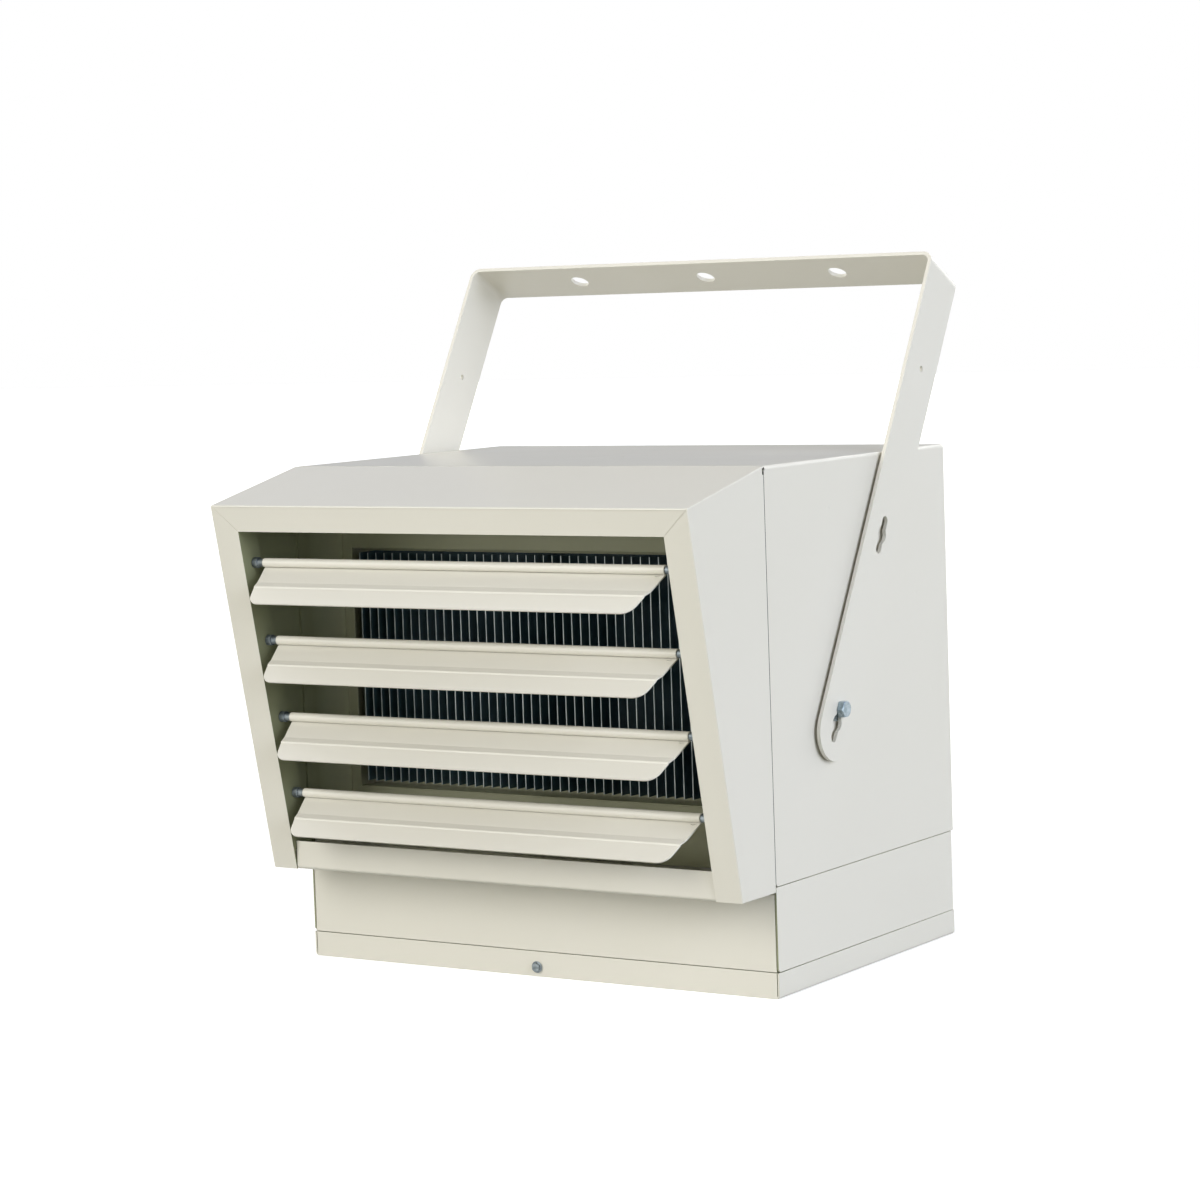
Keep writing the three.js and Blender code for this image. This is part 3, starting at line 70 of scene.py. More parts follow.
# The angle between two faces up to which they are flat, and from which they make a corner that
# is rounded, or an edge that is shaded sharp.
FLAT = math.radians(0.8)
CORNER = math.radians(50)
SHARP = math.radians(38)

# How far sheet edges are rounded, also beside the hood's seam, and how near counts as on a face.
SHEET_EDGE = 0.18
SEAM_EDGE = 0.35
TOUCH = 0.05


class Side(Enum):
    """The two sides of the heater, as seen by someone who faces its outlet."""

    LEFT = -1
    RIGHT = 1

    @property
    def word(self) -> str:
        """The side's name in lower case."""
        return self.name.lower()


class Along(Enum):
    """The axis that an outline is pushed along, with the two axes that it is drawn on."""

    X = ((0, 1, 0), (0, 0, 1), (1, 0, 0))
    Y = ((1, 0, 0), (0, 0, 1), (0, -1, 0))
    Z = ((1, 0, 0), (0, 1, 0), (0, 0, 1))

    def place(self, start: float, end: float) -> Matrix:
        """The move from the drawing to the heater.

        Args:
            start: where the form starts along the axis.
            end: where it ends.

        Returns:
            A matrix that puts a form drawn on XY and pushed up Z in its place.
        """
        first, second, third = (Vector(axis) for axis in self.value)
        origin = third * start if self is not Along.Y else Vector((0, end, 0))
        turn = Matrix((first, second, third)).transposed().to_4x4()
        return Matrix.Translation(origin) @ turn


class Cut(Enum):
    """What is kept when one form cuts another."""

    OUTSIDE = "DIFFERENCE"
    INSIDE = "INTERSECT"
    BOTH = "UNION"


# ---------------------------------------------------------------- outlines and paths


def rounded(points: Iterable[Point], radius: float, steps: int = 6) -> list[Vector]:
    """Rounds the inner corners of an open path.

    Args:
        points: the path's corners, flat or in space.
        radius: the radius of every corner.
        steps: how many straight pieces make each arc.

    Returns:
        The points of the rounded path.
    """
    path = [Vector(point).to_3d() for point in points]
    result = [path[0]]
    for before, here, after in zip(path, path[1:], path[2:]):
        back = (before - here).normalized()
        on = (after - here).normalized()
        half = back.angle(on) / 2
        if half > math.pi / 2 - 1e-3:
            result.append(here)
            continue
        centre = here + (back + on).normalized() * radius / math.sin(half)
        start = here + back * radius / math.tan(half) - centre
        end = here + on * radius / math.tan(half) - centre
        for step in range(steps + 1):
            turn = start.rotation_difference(end)
            axis, angle = turn.to_axis_angle()
            result.append(centre + Matrix.Rotation(angle * step / steps, 3, axis) @ start)
    result.append(path[-1])
    return result


def rectangle(low: Point, high: Point, radius: float, steps: int = 6) -> list[Point]:
    """The outline of a rectangle with round corners.

    Args:
        low: its lowest corner on the plane.
        high: its highest corner.
        radius: the radius of its corners.
        steps: how many straight pieces make each arc.

    Returns:
        Its points, anticlockwise.
    """
    corners = [low, (high[0], low[1]), high, (low[0], high[1])]
    middle = (Vector(corners[0]) + Vector(corners[-1])) / 2
    path = rounded([middle, *corners, middle], radius, steps)
    return [tuple(point.xy) for point in path[:-1]]


def circle(radius: float, sides: int = 48, centre: Point = (0, 0)) -> list[Point]:
    """The corners of a regular outline round a point, with a flat side to the right."""
    turns = ((i + 0.5) / sides * math.tau for i in range(sides))
    return [(centre[0] + radius * math.cos(t), centre[1] + radius * math.sin(t)) for t in turns]


def slot_outline(length: float, half_width: float, centre: Point = (0, 0),
                 steps: int = 16) -> list[Point]:
    """The outline of an upright slot with round ends.

    Args:
        length: the whole length along the second axis.
        half_width: half of its width, which is the radius of its ends.
        centre: its middle.
        steps: how many straight pieces make each end.

    Returns:
        Its points, anticlockwise.
    """
    reach = length / 2 - half_width
    points = []
    for offset, first in ((reach, 0.0), (-reach, math.pi)):
        for step in range(steps + 1):
            turn = first + math.pi * step / steps
            points.append((centre[0] + half_width * math.cos(turn),
                           centre[1] + offset + half_width * math.sin(turn)))
    return points


def discard(carrier: bpy.types.Object) -> None:
    """Removes an object and its mesh."""
    mesh = carrier.data
    bpy.data.objects.remove(carrier)
    bpy.data.meshes.remove(mesh)


# ---------------------------------------------------------------- forms


class Form:
    """A shape that is worked on in a bmesh, in millimetres."""

    def __init__(self) -> None:
        """Starts with nothing."""
        self.mesh = bmesh.new()

    @classmethod
    def block(cls, low: Point, high: Point) -> "Form":
        """A box.

        Args:
            low: its lowest corner.
            high: its highest corner.

        Returns:
            The closed box.
        """
        form = cls()
        middle = (Vector(low) + Vector(high)) / 2
        size = Vector(high) - Vector(low)
        matrix = Matrix.Translation(middle) @ Matrix.Diagonal((*size, 1.0))
        bmesh.ops.create_cube(form.mesh, size=1.0, matrix=matrix)
        return form

    @classmethod
    def drawn(cls, outline: Sequence[Point], along: Along, start: float, end: float) -> "Form":
        """Pushes a closed outline along an axis.

        Args:
            outline: its corners, on the two axes of the drawing.
            along: the axis to push along.
            start: where the form starts on that axis.
            end: where it ends.

        Returns:
            The closed form.
        """
        form = cls()
        corners = [form.mesh.verts.new((a, b, 0.0)) for a, b in outline]
        face = form.mesh.faces.new(corners)
        pushed = bmesh.ops.extrude_face_region(form.mesh, geom=[face])["geom"]
        moving = [part for part in pushed if isinstance(part, bmesh.types.BMVert)]
        bmesh.ops.translate(form.mesh, verts=moving, vec=(0, 0, end - start))
        return form.moved(along.place(start, end)).facing_out()

    @classmethod
    def turned(cls, profile: Sequence[Point], steps: int = 48, closed: bool = False) -> "Form":
        """Turns a profile about Z.

        Args:
            profile: points of radius and height.
            steps: how many sides the round form has.
            closed: whether the profile's ends are joined to each other.

        Returns:
            The round form.
        """
        form = cls()
        verts = [form.mesh.verts.new((radius, 0.0, height)) for radius, height in profile]
        pairs = list(zip(verts, verts[1:]))
        if closed:
            pairs.append((verts[-1], verts[0]))
        edges = [form.mesh.edges.new(pair) for pair in pairs]
        bmesh.ops.spin(form.mesh, geom=[*verts, *edges], cent=(0, 0, 0), axis=(0, 0, 1),
                       dvec=(0, 0, 0), angle=math.tau, steps=steps, use_merge=True,
                       use_duplicate=False)
        bmesh.ops.remove_doubles(form.mesh, verts=form.mesh.verts, dist=SAME_PLACE)
        return form.facing_out()

    @classmethod
    def ring(cls, radius: float, wire: float, steps: int = 72, sides: int = 10) -> "Form":
        """A closed ring of round wire about Z."""
        section = [(radius + a, b) for a, b in circle(wire, sides)]
        return cls.turned(section, steps, closed=True)

    @classmethod
    def tube(cls, corners: Iterable[Point], radius: float, bend: float, sides: int = 16) -> "Form":
        """A round bar or wire along a path.

        Args:
            corners: the path's corners.
            radius: the bar's radius.
            bend: the radius of its bends along its middle.
            sides: how many sides the bar has.

        Returns:
            The closed bar.
        """
        path = rounded(corners, bend)
        curve = bpy.data.curves.new("route", "CURVE")
        curve.dimensions = "3D"
        curve.bevel_depth = radius
        curve.bevel_resolution = (sides - 4) // 2
        curve.use_fill_caps = True
        spline = curve.splines.new("POLY")
        spline.points.add(len(path) - 1)
        for point, place in zip(spline.points, path):
            point.co = (*place, 1.0)
        carrier = bpy.data.objects.new("route", curve)
        mesh = bpy.data.meshes.new_from_object(carrier)
        form = cls()
        form.mesh.from_mesh(mesh)
        bmesh.ops.remove_doubles(form.mesh, verts=form.mesh.verts, dist=SAME_PLACE)
        bpy.data.objects.remove(carrier)
        bpy.data.curves.remove(curve)
        bpy.data.meshes.remove(mesh)
        return form.facing_out()

    @classmethod
    def sheet(cls, rows: int, columns: int, place: Callable[[int, int], Point]) -> "Form":
        """An open sheet of points.

        Args:
            rows: how many rows of faces it has.
            columns: how many columns.
            place: gives the point at a row and a column.

        Returns:
            The sheet, without a thickness.
        """
        form = cls()
        bmesh.ops.create_grid(form.mesh, x_segments=columns, y_segments=rows, size=0.5)
        for vert in form.mesh.verts:
            column = round((vert.co.x + 0.5) * columns)
            row = round((vert.co.y + 0.5) * rows)
            vert.co = place(row, column)
        return form

    @classmethod
    def copied(cls, node: str) -> "Form":
        """A copy of a CAD node with its triangles merged to whole flat faces.

        Args:
            node: the CAD node's name.

        Returns:
            The copy, in millimetres.
        """
        form = cls()
        mesh = form.mesh
        mesh.from_mesh(frame["nodes"][node].data)
        bmesh.ops.scale(mesh, vec=(1 / MM,) * 3, verts=mesh.verts)
        bmesh.ops.remove_doubles(mesh, verts=mesh.verts, dist=SAME_CAD_PLACE)
        bmesh.ops.dissolve_limit(mesh, angle_limit=FLAT, verts=mesh.verts, edges=mesh.edges)
        return form

    def facing_out(self) -> "Form":
        """Turns every face outwards."""
        bmesh.ops.recalc_face_normals(self.mesh, faces=self.mesh.faces)
        return self

    def moved(self, matrix: Matrix) -> "Form":
        """Moves or turns the whole form."""
        bmesh.ops.transform(self.mesh, matrix=matrix, verts=self.mesh.verts)
        return self

    def shifted(self, x: float = 0.0, y: float = 0.0, z: float = 0.0) -> "Form":
        """Moves the whole form without turning it."""
        return self.moved(Matrix.Translation((x, y, z)))

    def aimed(self, out: Point, at: Point) -> "Form":
        """Turns the form's own Z to point out of a face and moves its origin to a place there."""
        turn = Vector((0, 0, 1)).rotation_difference(Vector(out)).to_matrix().to_4x4()
        return self.moved(Matrix.Translation(Vector(at)) @ turn)

    def with_forms(self, *others: "Form") -> "Form":
        """Takes other forms into this one.

        Args:
            others: the forms, which are used up.

        Returns:
            The form with the others in it.
        """
        for other in others:
            mesh = bpy.data.meshes.new("other")
            other.mesh.to_mesh(mesh)
            other.mesh.free()
            self.mesh.from_mesh(mesh)
            bpy.data.meshes.remove(mesh)
        return self

    def through(self, kind: str, **settings: object) -> "Form":
        """Passes the form through one of Blender's modifiers.

        Args:
            kind: the modifier's type.
            settings: its settings by name.

        Returns:
            The changed form.
        """
        carrier = self.carrier("work")
        modifier = carrier.modifiers.new("work", kind)
        for name, value in settings.items():
            setattr(modifier, name, value)
        bpy.context.view_layer.update()
        seen = carrier.evaluated_get(bpy.context.evaluated_depsgraph_get())
        mesh = bpy.data.meshes.new_from_object(seen)
        self.mesh.clear()
        self.mesh.from_mesh(mesh)
        discard(carrier)
        bpy.data.meshes.remove(mesh)
        return self

    def carrier(self, name: str) -> bpy.types.Object:
        """Puts the form's present mesh in the scene.

        Args:
            name: the name of the object and of its mesh.

        Returns:
            The object.
        """
        mesh = bpy.data.meshes.new(name)
        self.mesh.to_mesh(mesh)
        carrier = bpy.data.objects.new(name, mesh)
        bpy.context.scene.collection.objects.link(carrier)
        return carrier

    def cut(self, *tools: "Form", keep: Cut = Cut.OUTSIDE) -> "Form":
        """Cuts the form with others, which are used up.

        Args:
            tools: closed forms.
            keep: whether what lies outside them, inside them or both is kept.

        Returns:
            The cut form.
        """
        for tool in tools:
            carrier = tool.carrier("tool")
            self.through("BOOLEAN", operation=keep.value, solver="EXACT", object=carrier)
            discard(carrier)
            tool.mesh.free()
        return self

    def thick(self, thickness: float) -> "Form":
        """Gives an open sheet a thickness, half on each side."""
        return self.through("SOLIDIFY", thickness=thickness, offset=0.0, use_even_offset=True)

    def soft(self, width: float, segments: int = 2) -> "Form":
        """Rounds every corner by a width on each face, in a number of strips."""
        return self.soft_where(width, segments, lambda edge: edge.calc_face_angle(0.0) > CORNER)

    def soft_where(self, width: float, segments: int,
                   chosen: Callable[[bmesh.types.BMEdge], bool]) -> "Form":
        """Rounds the edges that a test picks out.

        Args:
            width: how far the rounding reaches on each face.
            segments: how many strips make it.
            chosen: the test of an edge.

        Returns:
            The softened form.
        """
        edges = [edge for edge in self.mesh.edges if len(edge.link_faces) == 2 and chosen(edge)]
        bmesh.ops.bevel(self.mesh, geom=edges, offset=width, offset_type="OFFSET",
                        segments=segments, profile=0.5, affect="EDGES", clamp_overlap=False,
                        material=-1)
        return self

    def shown(self, name: str) -> bpy.types.Object:
        """Makes the form a shown object at the origin, in metres, smooth up to its sharp edges.

        Args:
            name: the object's name.

        Returns:
            The object.
        """
        bmesh.ops.scale(self.mesh, vec=(MM,) * 3, verts=self.mesh.verts)
        shown = self.carrier(name)
        self.mesh.free()
        shown.data.polygons.foreach_set("use_smooth", [True] * len(shown.data.polygons))
        shown.data.set_sharp_from_angle(angle=SHARP)
        weighted = shown.modifiers.new("even_normals", "WEIGHTED_NORMAL")
        weighted.keep_sharp = True
        return shown


# ---------------------------------------------------------------- finishes


def srgb(red: int, green: int, blue: int) -> Colour:
    """A colour from its three numbers on screen, as a shader takes it."""
    parts = (value / 255 for value in (red, green, blue))
    return (*(p / 12.92 if p <= 0.04045 else ((p + 0.055) / 1.055) ** 2.4 for p in parts), 1.0)


class NodeWork:
    """Nodes that are added one after another to a tree."""

    def __init__(self, tree: bpy.types.NodeTree) -> None:
        """Works on a tree."""
        self.tree = tree

    def node(self, kind: str, **inputs: object) -> bpy.types.Node:
        """Adds a node and links or sets its inputs by name, with _ for a blank.

        Args:
            kind: the node's type.
            inputs: a socket to link, or a value, for each named input.

        Returns:
            The new node.
        """
        node = self.tree.nodes.new(kind)
        for name, value in inputs.items():
            self.feed(node.inputs[name.replace("_", " ")], value)
        return node

    def feed(self, entry: Socket, value: object) -> None:
        """Links a socket to an input, or sets a plain value on it.

        Args:
            entry: the input.
            value: the socket or the value.
        """
        if isinstance(value, bpy.types.NodeSocket):
            self.tree.links.new(value, entry)
        else:
            entry.default_value = value

    def place(self, scale: Point = (1, 1, 1), offset: Point = (0, 0, 0)) -> Socket:
        """Object coordinates in metres, scaled and moved."""
        where = self.node("ShaderNodeTexCoord").outputs["Object"]
        return self.node("ShaderNodeMapping", Vector=where, Scale=scale,
                         Location=offset).outputs["Vector"]

    def noise(self, scale: float, detail: float = 2.0, where: Socket | None = None) -> Socket:
        """Soft random variation, from 0 to 1, at so many waves in a metre."""
        where = where if where is not None else self.place()
        return self.node("ShaderNodeTexNoise", Vector=where, Scale=scale,
                         Detail=detail).outputs["Fac"]

    def ramp(self, factor: Socket, *stops: tuple[float, Colour]) -> Socket:
        """A colour that follows a factor.

        Args:
            factor: the factor.
            stops: pairs of a value of the factor and the colour there.

        Returns:
            The colour's socket.
        """
        node = self.node("ShaderNodeValToRGB", Fac=factor)
        band = node.color_ramp.elements
        while len(band) < len(stops):
            band.new(0.5)
        for element, (position, colour) in zip(band, stops):
            element.position = position
            element.color = colour
        return node.outputs["Color"]

    def span(self, value: Socket, low: float, high: float, to_low: float,
             to_high: float) -> Socket:
        """Maps a value from one span to another, held at its ends."""
        return self.node("ShaderNodeMapRange", Value=value, From_Min=low, From_Max=high,
                         To_Min=to_low, To_Max=to_high).outputs["Result"]

    def blend(self, part: Socket, first: object, second: object) -> Socket:
        """Mixes two colours.

        Args:
            part: how much of the second there is, from 0 to 1.
            first: a colour or its socket.
            second: another.

        Returns:
            The mixed colour's socket.
        """
        node = self.tree.nodes.new("ShaderNodeMix")
        node.data_type = "RGBA"
        for entry, value in zip((0, 6, 7), (part, first, second)):
            self.feed(node.inputs[entry], value)
        return node.outputs[2]

    def maths(self, operation: str, first: object, second: object = 0.0) -> Socket:
        """One step of arithmetic.

        Args:
            operation: its name in Blender.
            first: a number or its socket.
            second: another.

        Returns:
            The result's socket.
        """
        node = self.tree.nodes.new("ShaderNodeMath")
        node.operation = operation
        self.feed(node.inputs[0], first)
        self.feed(node.inputs[1], second)
        return node.outputs[0]


class ShaderWork(NodeWork):
    """A material's nodes, added round its Principled shader."""

    def __init__(self, name: str) -> None:
        """Starts a material under a name."""
        self.material = bpy.data.materials.new(name)
        self.material.use_nodes = True
        super().__init__(self.material.node_tree)
        self.surface = self.tree.nodes["Principled BSDF"]
        self.normal: Socket | None = None

    def bump(self, height: Socket, depth: float) -> None:
        """Adds relief to the surface.

        Args:
            height: its height, from 0 to 1.
            depth: its real depth in metres.
        """
        node = self.node("ShaderNodeBump", Height=height, Distance=depth, Strength=1.0)
        if self.normal is not None:
            self.tree.links.new(self.normal, node.inputs["Normal"])
        self.normal = node.outputs["Normal"]
        self.feed(self.surface.inputs["Normal"], self.normal)

    def set(self, **values: object) -> None:
        """Sets or links the Principled shader's own inputs by name, with _ for a blank."""
        for name, value in values.items():
            self.feed(self.surface.inputs[name.replace("_", " ")], value)


@dataclass(frozen=True)
class Finish:
    """A surface finish, made into a material when it is first used."""

    name: str

    def material(self) -> bpy.types.Material:
        """The finish's material."""
        made = bpy.data.materials.get(self.name)
        if made is None:
            work = ShaderWork(self.name)
            self.paint(work)
            made = work.material
        return made

    def paint(self, work: ShaderWork) -> None:
        """Lays the finish on a new material.

        Args:
            work: the material's nodes.
        """
        raise NotImplementedError

    def dress(self, piece: bpy.types.Object) -> None:
        """Gives a piece this finish all over."""
        piece.data.materials.clear()
        piece.data.materials.append(self.material())

    def dress_where(self, piece: bpy.types.Object, chosen: FaceTest) -> None:
        """Gives this finish to some faces of a piece.

        Args:
            piece: the piece.
            chosen: the test of a face by its centre, in mm, and its normal.
        """
        piece.data.materials.append(self.material())
        slot = len(piece.data.materials) - 1
        for face in piece.data.polygons:
            if chosen(face.center / MM, face.normal):
                face.material_index = slot


@dataclass(frozen=True)
class Grain:
    """Random variation: its waves in a metre, its detail and the span of it that counts."""

    scale: float
    detail: float
    low: float = 0.3
    high: float = 0.7


@dataclass(frozen=True)
class Patchy(Finish):
    """A coat, plating or moulding that varies in patches, each property at its own size."""

    first: Colour
    second: Colour
    patch: Grain
    polish: Grain
    rough: tuple[float, float]
    relief: tuple[tuple[float, float, float], ...] = ()
    metallic: float = 0.0
    specular: float = 0.5

    def paint(self, work: ShaderWork) -> None:
        """Varies the colour and roughness, and raises each relief of scale, detail and depth."""
        patch = work.noise(self.patch.scale, self.patch.detail)
        polish = work.noise(self.polish.scale, self.polish.detail)
        stops = (self.patch.low, self.first), (self.patch.high, self.second)
        work.set(Base_Color=work.ramp(patch, *stops), Metallic=self.metallic,
                 Roughness=work.span(polish, self.polish.low, self.polish.high, *self.rough),
                 Specular_IOR_Level=self.specular)
        for scale, detail, depth in self.relief:
            work.bump(work.noise(scale, detail), depth)


@dataclass(frozen=True)
class ThinCoat(Finish):
    """Painted shade inside the cabinet: a dark coat, darker at the outlet than further back."""

    front: Colour
    rear: Colour
    start: float = -0.115
    end: float = -0.074

    def paint(self, work: ShaderWork) -> None:
        """Fades the painted shade from dark at the front to lighter at the rear, with a soft cloud
        in it.
        """
        apart = work.node("ShaderNodeSeparateXYZ", Vector=work.place())
        back = work.span(apart.outputs["Y"], self.start, self.end, 0.0, 1.0)
        cloud = work.span(work.noise(14.0), 0.3, 0.7, -0.08, 0.08)
        fade = work.maths("ADD", back, cloud)
        work.set(Base_Color=work.ramp(fade, (0.0, self.front), (1.0, self.rear)),
                 Roughness=work.span(work.noise(30.0), 0.3, 0.7, 0.42, 0.52),
                 Specular_IOR_Level=0.4)
        work.bump(work.noise(520.0, 1.0), 0.00001)


@dataclass(frozen=True)
class RolledSteel(Finish):
    """Bare sheet steel with rolling marks along one axis."""

    colour: Colour
    shade: Colour
    grain: Point = (30.0, 900.0, 900.0)

    def paint(self, work: ShaderWork) -> None:
        """Draws long streaks in the colour, the polish and the relief."""
        streak = work.noise(1.0, 3.0, work.place(scale=self.grain))
        work.set(Base_Color=work.ramp(streak, (0.3, self.shade), (0.7, self.colour)),
                 Metallic=1.0, Roughness=work.span(streak, 0.3, 0.7, 0.3, 0.46))
        work.bump(streak, 0.00002)


@dataclass(frozen=True)
class BlackedSteel(Finish):
    """Steel fins and rods with a dark heat-treated skin, and a painted highlight on the front
    edges.
    """

    colour: Colour
    tint: Colour
    bare: Colour
    front: float

    def paint(self, work: ShaderWork) -> None:
        """Clouds the skin with a bluish tint in upright bands and paints its front edges light."""
        cloud = work.noise(1.0, 3.0, work.place(scale=(45.0, 45.0, 12.0)))
        skin = work.ramp(cloud, (0.35, self.colour), (0.75, self.tint))
        apart = work.node("ShaderNodeSeparateXYZ", Vector=work.place())
        # Painted highlight: the front edges blend towards a near-white colour, broken up by noise.
        edge = work.span(apart.outputs["Y"], self.front, self.front + 0.0006, 1.0, 0.0)
        rubbed = work.span(work.noise(70.0, 3.0), 0.35, 0.6, 0.5, 1.0)
        painted_highlight = work.maths("MULTIPLY", edge, rubbed)
        work.set(Base_Color=work.blend(painted_highlight, skin, self.bare), Metallic=0.4,
                 Roughness=work.span(work.noise(300.0), 0.3, 0.7, 0.34, 0.5))
        work.bump(work.noise(900.0), 0.00002)


@dataclass(frozen=True)
class PressedAluminium(Finish):
    """Mill-finish aluminium sheet, rubbed in rings about the fan's axis."""

    light: Colour
    dark: Colour
    centre: Point

    def paint(self, work: ShaderWork) -> None:
        """Draws faint rings and a soft cloud of oxide."""
        away = [-value for value in self.centre]
        apart = work.node("ShaderNodeSeparateXYZ", Vector=work.place(offset=away))
        across, up = (work.maths("POWER", apart.outputs[axis], 2.0) for axis in ("X", "Z"))
        radius = work.maths("SQRT", work.maths("ADD", across, up))
        rings = work.node("ShaderNodeCombineXYZ", X=radius)
        line = work.noise(900.0, 2.0, rings.outputs["Vector"])
        oxide = work.ramp(work.noise(24.0, 4.0), (0.3, self.dark), (0.7, self.light))
        work.set(Base_Color=oxide, Metallic=1.0, Roughness=work.span(line, 0.3, 0.7, 0.26, 0.44))
        work.bump(line, 0.00002)


ENAMEL = Patchy("almond_enamel", srgb(220, 217, 205), srgb(223, 220, 209),
                Grain(5.0, 1.0, 0.25, 0.75), Grain(24.0, 2.0, 0.2, 0.8), (0.28, 0.34),
                ((520.0, 1.0, 0.000008), (16.0, 1.0, 0.00003)), specular=0.42)
# Painted shade: a dark olive coat on the inner faces, the baffle and the laps behind seams, where
# shade falls.
INNER_SHADE = ThinCoat("thin_inner_coat", srgb(138, 141, 110), srgb(190, 191, 163))
# Painted shade: a near-black coat on the edges and laps inside a seam, standing for the shadow in
# its groove.
SEAM_SHADE = Patchy("seam_dust", srgb(58, 57, 50), srgb(78, 76, 67),
                   Grain(60.0, 3.0, 0.35, 0.75), Grain(200.0, 1.0), (0.6, 0.8), specular=0.2)
ZINC = Patchy("zinc_plate", srgb(132, 148, 156), srgb(176, 190, 197), Grain(260.0, 4.0),
              Grain(700.0, 2.0), (0.22, 0.38), ((260.0, 4.0, 0.00002),), metallic=1.0)
DULL_ZINC = replace(ZINC, name="dull_zinc", first=srgb(92, 100, 104), second=srgb(150, 158, 160),
                    rough=(0.48, 0.64))
STEEL = RolledSteel("rolled_steel", srgb(160, 162, 164), srgb(122, 124, 127))
# The third colour is the painted highlight on the fins' front edges.
FIN_STEEL = BlackedSteel("blacked_steel", srgb(66, 94, 106), srgb(98, 126, 138),
                         srgb(214, 221, 221), -0.0702)
MOTOR_PAINT = Patchy("motor_paint", srgb(38, 40, 41), srgb(58, 59, 60),
                     Grain(30.0, 4.0, 0.4, 0.75), Grain(200.0, 2.0), (0.42, 0.56),
                     ((1300.0, 2.0, 0.00005),), metallic=0.2)
ALUMINIUM = PressedAluminium("pressed_aluminium", srgb(196, 198, 199), srgb(160, 163, 165),
                             (0.0, 0.0, 0.201))
BLACK_PLASTIC = Patchy("black_plastic", srgb(26, 26, 27), srgb(38, 38, 39),
                       Grain(90.0, 3.0, 0.35, 0.75), Grain(500.0, 2.0), (0.4, 0.55),
                       ((1600.0, 1.0, 0.00003),))
GREY_PLASTIC = replace(BLACK_PLASTIC, name="grey_plastic", first=srgb(112, 115, 117),
                       second=srgb(124, 126, 127))
RUBBER = Patchy("grommet_rubber", srgb(22, 22, 22), srgb(46, 45, 44),
                Grain(140.0, 4.0, 0.4, 0.8), Grain(400.0, 2.0), (0.66, 0.84),
                ((1100.0, 2.0, 0.00004),))
RED_WIRE = Patchy("red_wire_skin", srgb(140, 36, 30), srgb(158, 40, 32),
                  Grain(180.0, 3.0, 0.35, 0.6), Grain(260.0, 2.0), (0.3, 0.44),
                  ((800.0, 1.0, 0.00003),))
BLACK_WIRE = replace(RED_WIRE, name="black_wire_skin", first=srgb(38, 38, 38),
                     second=srgb(27, 27, 28))


def fit(form: Form, node: str, finish: Finish) -> bpy.types.Object:
    """Shows a form in place of a CAD node, on the node's own body.

    Args:
        form: the finished form, in millimetres.
        node: the CAD node that it stands for.
        finish: its surface finish.

    Returns:
        The shown piece.
    """
    piece = form.shown(f"{node}_fitted")
    finish.dress(piece)
    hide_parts(node)
    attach(piece, BODY_OF[node])
    LOG.info("%s: %d faces", piece.name, len(piece.data.polygons))
    return piece


# ---------------------------------------------------------------- shared sizes and fasteners


@dataclass(frozen=True)
class Heater:
    """The sizes that the sub-assemblies share, in millimetres."""

    half: float = 184.0
    front: float = -120.0
    rear: float = 120.0
    height: float = 336.0
    opening: float = 164.6
    blade_half: float = 155.8
    sheet: float = 1.2
    gap: float = 0.3
    fan_axis: float = 201.0
    rod_x: float = 176.82


@dataclass(frozen=True)
class HexHead:
    """A hexagonal head or nut with chamfered corners, on its own Z axis."""

    corner: float
    height: float
    chamfer: float

    def form(self) -> Form:
        """Cuts a six-sided bar with a cone at its outer end."""
        bar = Form.drawn(circle(self.corner, 6), Along.Z, 0.0, self.height)
        flat = self.corner * math.cos(math.pi / 6)
        clear, shoulder = self.corner + 1, self.height - self.chamfer
        cone = Form.turned([(0, -1), (clear, -1), (clear, shoulder), (self.corner, shoulder),
                            (flat - 0.1, self.height), (0, self.height)])
        return bar.cut(cone, keep=Cut.INSIDE)


def slotted_head(radius: float, side: float, height: float, slot: float, steps: int) -> Form:
    """A round slotted head on its own Z axis.

    Args:
        radius: its radius.
        side: how high its upright side is.
        height: its whole height.
        slot: the height of the slot's floor.
        steps: how many sides the round form has.

    Returns:
        The head.
    """
    rim = radius - 0.6
    head = Form.turned([(0, 0), (radius, 0), (radius, side), (rim, height), (0, height)], steps)
    return head.cut(Form.block((-4, -0.5, slot), (4, 0.5, 3)))


@dataclass(frozen=True)
class Screw:
    """A slotted screw with a hexagonal head on a round flange."""

    length: float
    flange: float = 3.8
    corner: float = 3.1
    head: float = 2.4
    shank: float = 1.8
    pitch: float = 1.1
    slot: float = 0.9

    def shank_form(self) -> Form:
        """A shank with ridges for its thread, below the seat."""
        root = self.shank - 0.3
        profile = [(0.0, 0.2), (root, 0.2), (root, 0.0)]
        for turn in range(int((self.length - 1.2) / self.pitch)):
            z = -self.pitch * turn
            profile += [(root, z - self.pitch * 0.2), (self.shank, z - self.pitch * 0.5),
                        (root, z - self.pitch * 0.8)]
        profile += [(root, -self.length + 0.8), (root * 0.5, -self.length), (0.0, -self.length)]
        return Form.turned(profile, 20)

    def form(self, at: Point, out: Point) -> Form:
        """The whole screw, seated on a face.

        Args:
            at: the middle of its seat.
            out: the direction in which its head stands out.

        Returns:
            The screw in its place.
        """
        edge = self.head * 0.32
        washer = Form.turned([(0, 0), (self.flange - 0.15, 0), (self.flange, 0.15),
                              (self.flange, edge * 0.6), (self.flange - 0.5, edge), (0, edge)], 40)
        hexagon = HexHead(self.corner, self.head, 0.5).form()
        groove = Form.block((-self.flange, -self.slot / 2, self.head - 0.9),
                            (self.flange, self.slot / 2, self.head + 1))
        return hexagon.cut(groove).with_forms(washer, self.shank_form()).aimed(out, at)


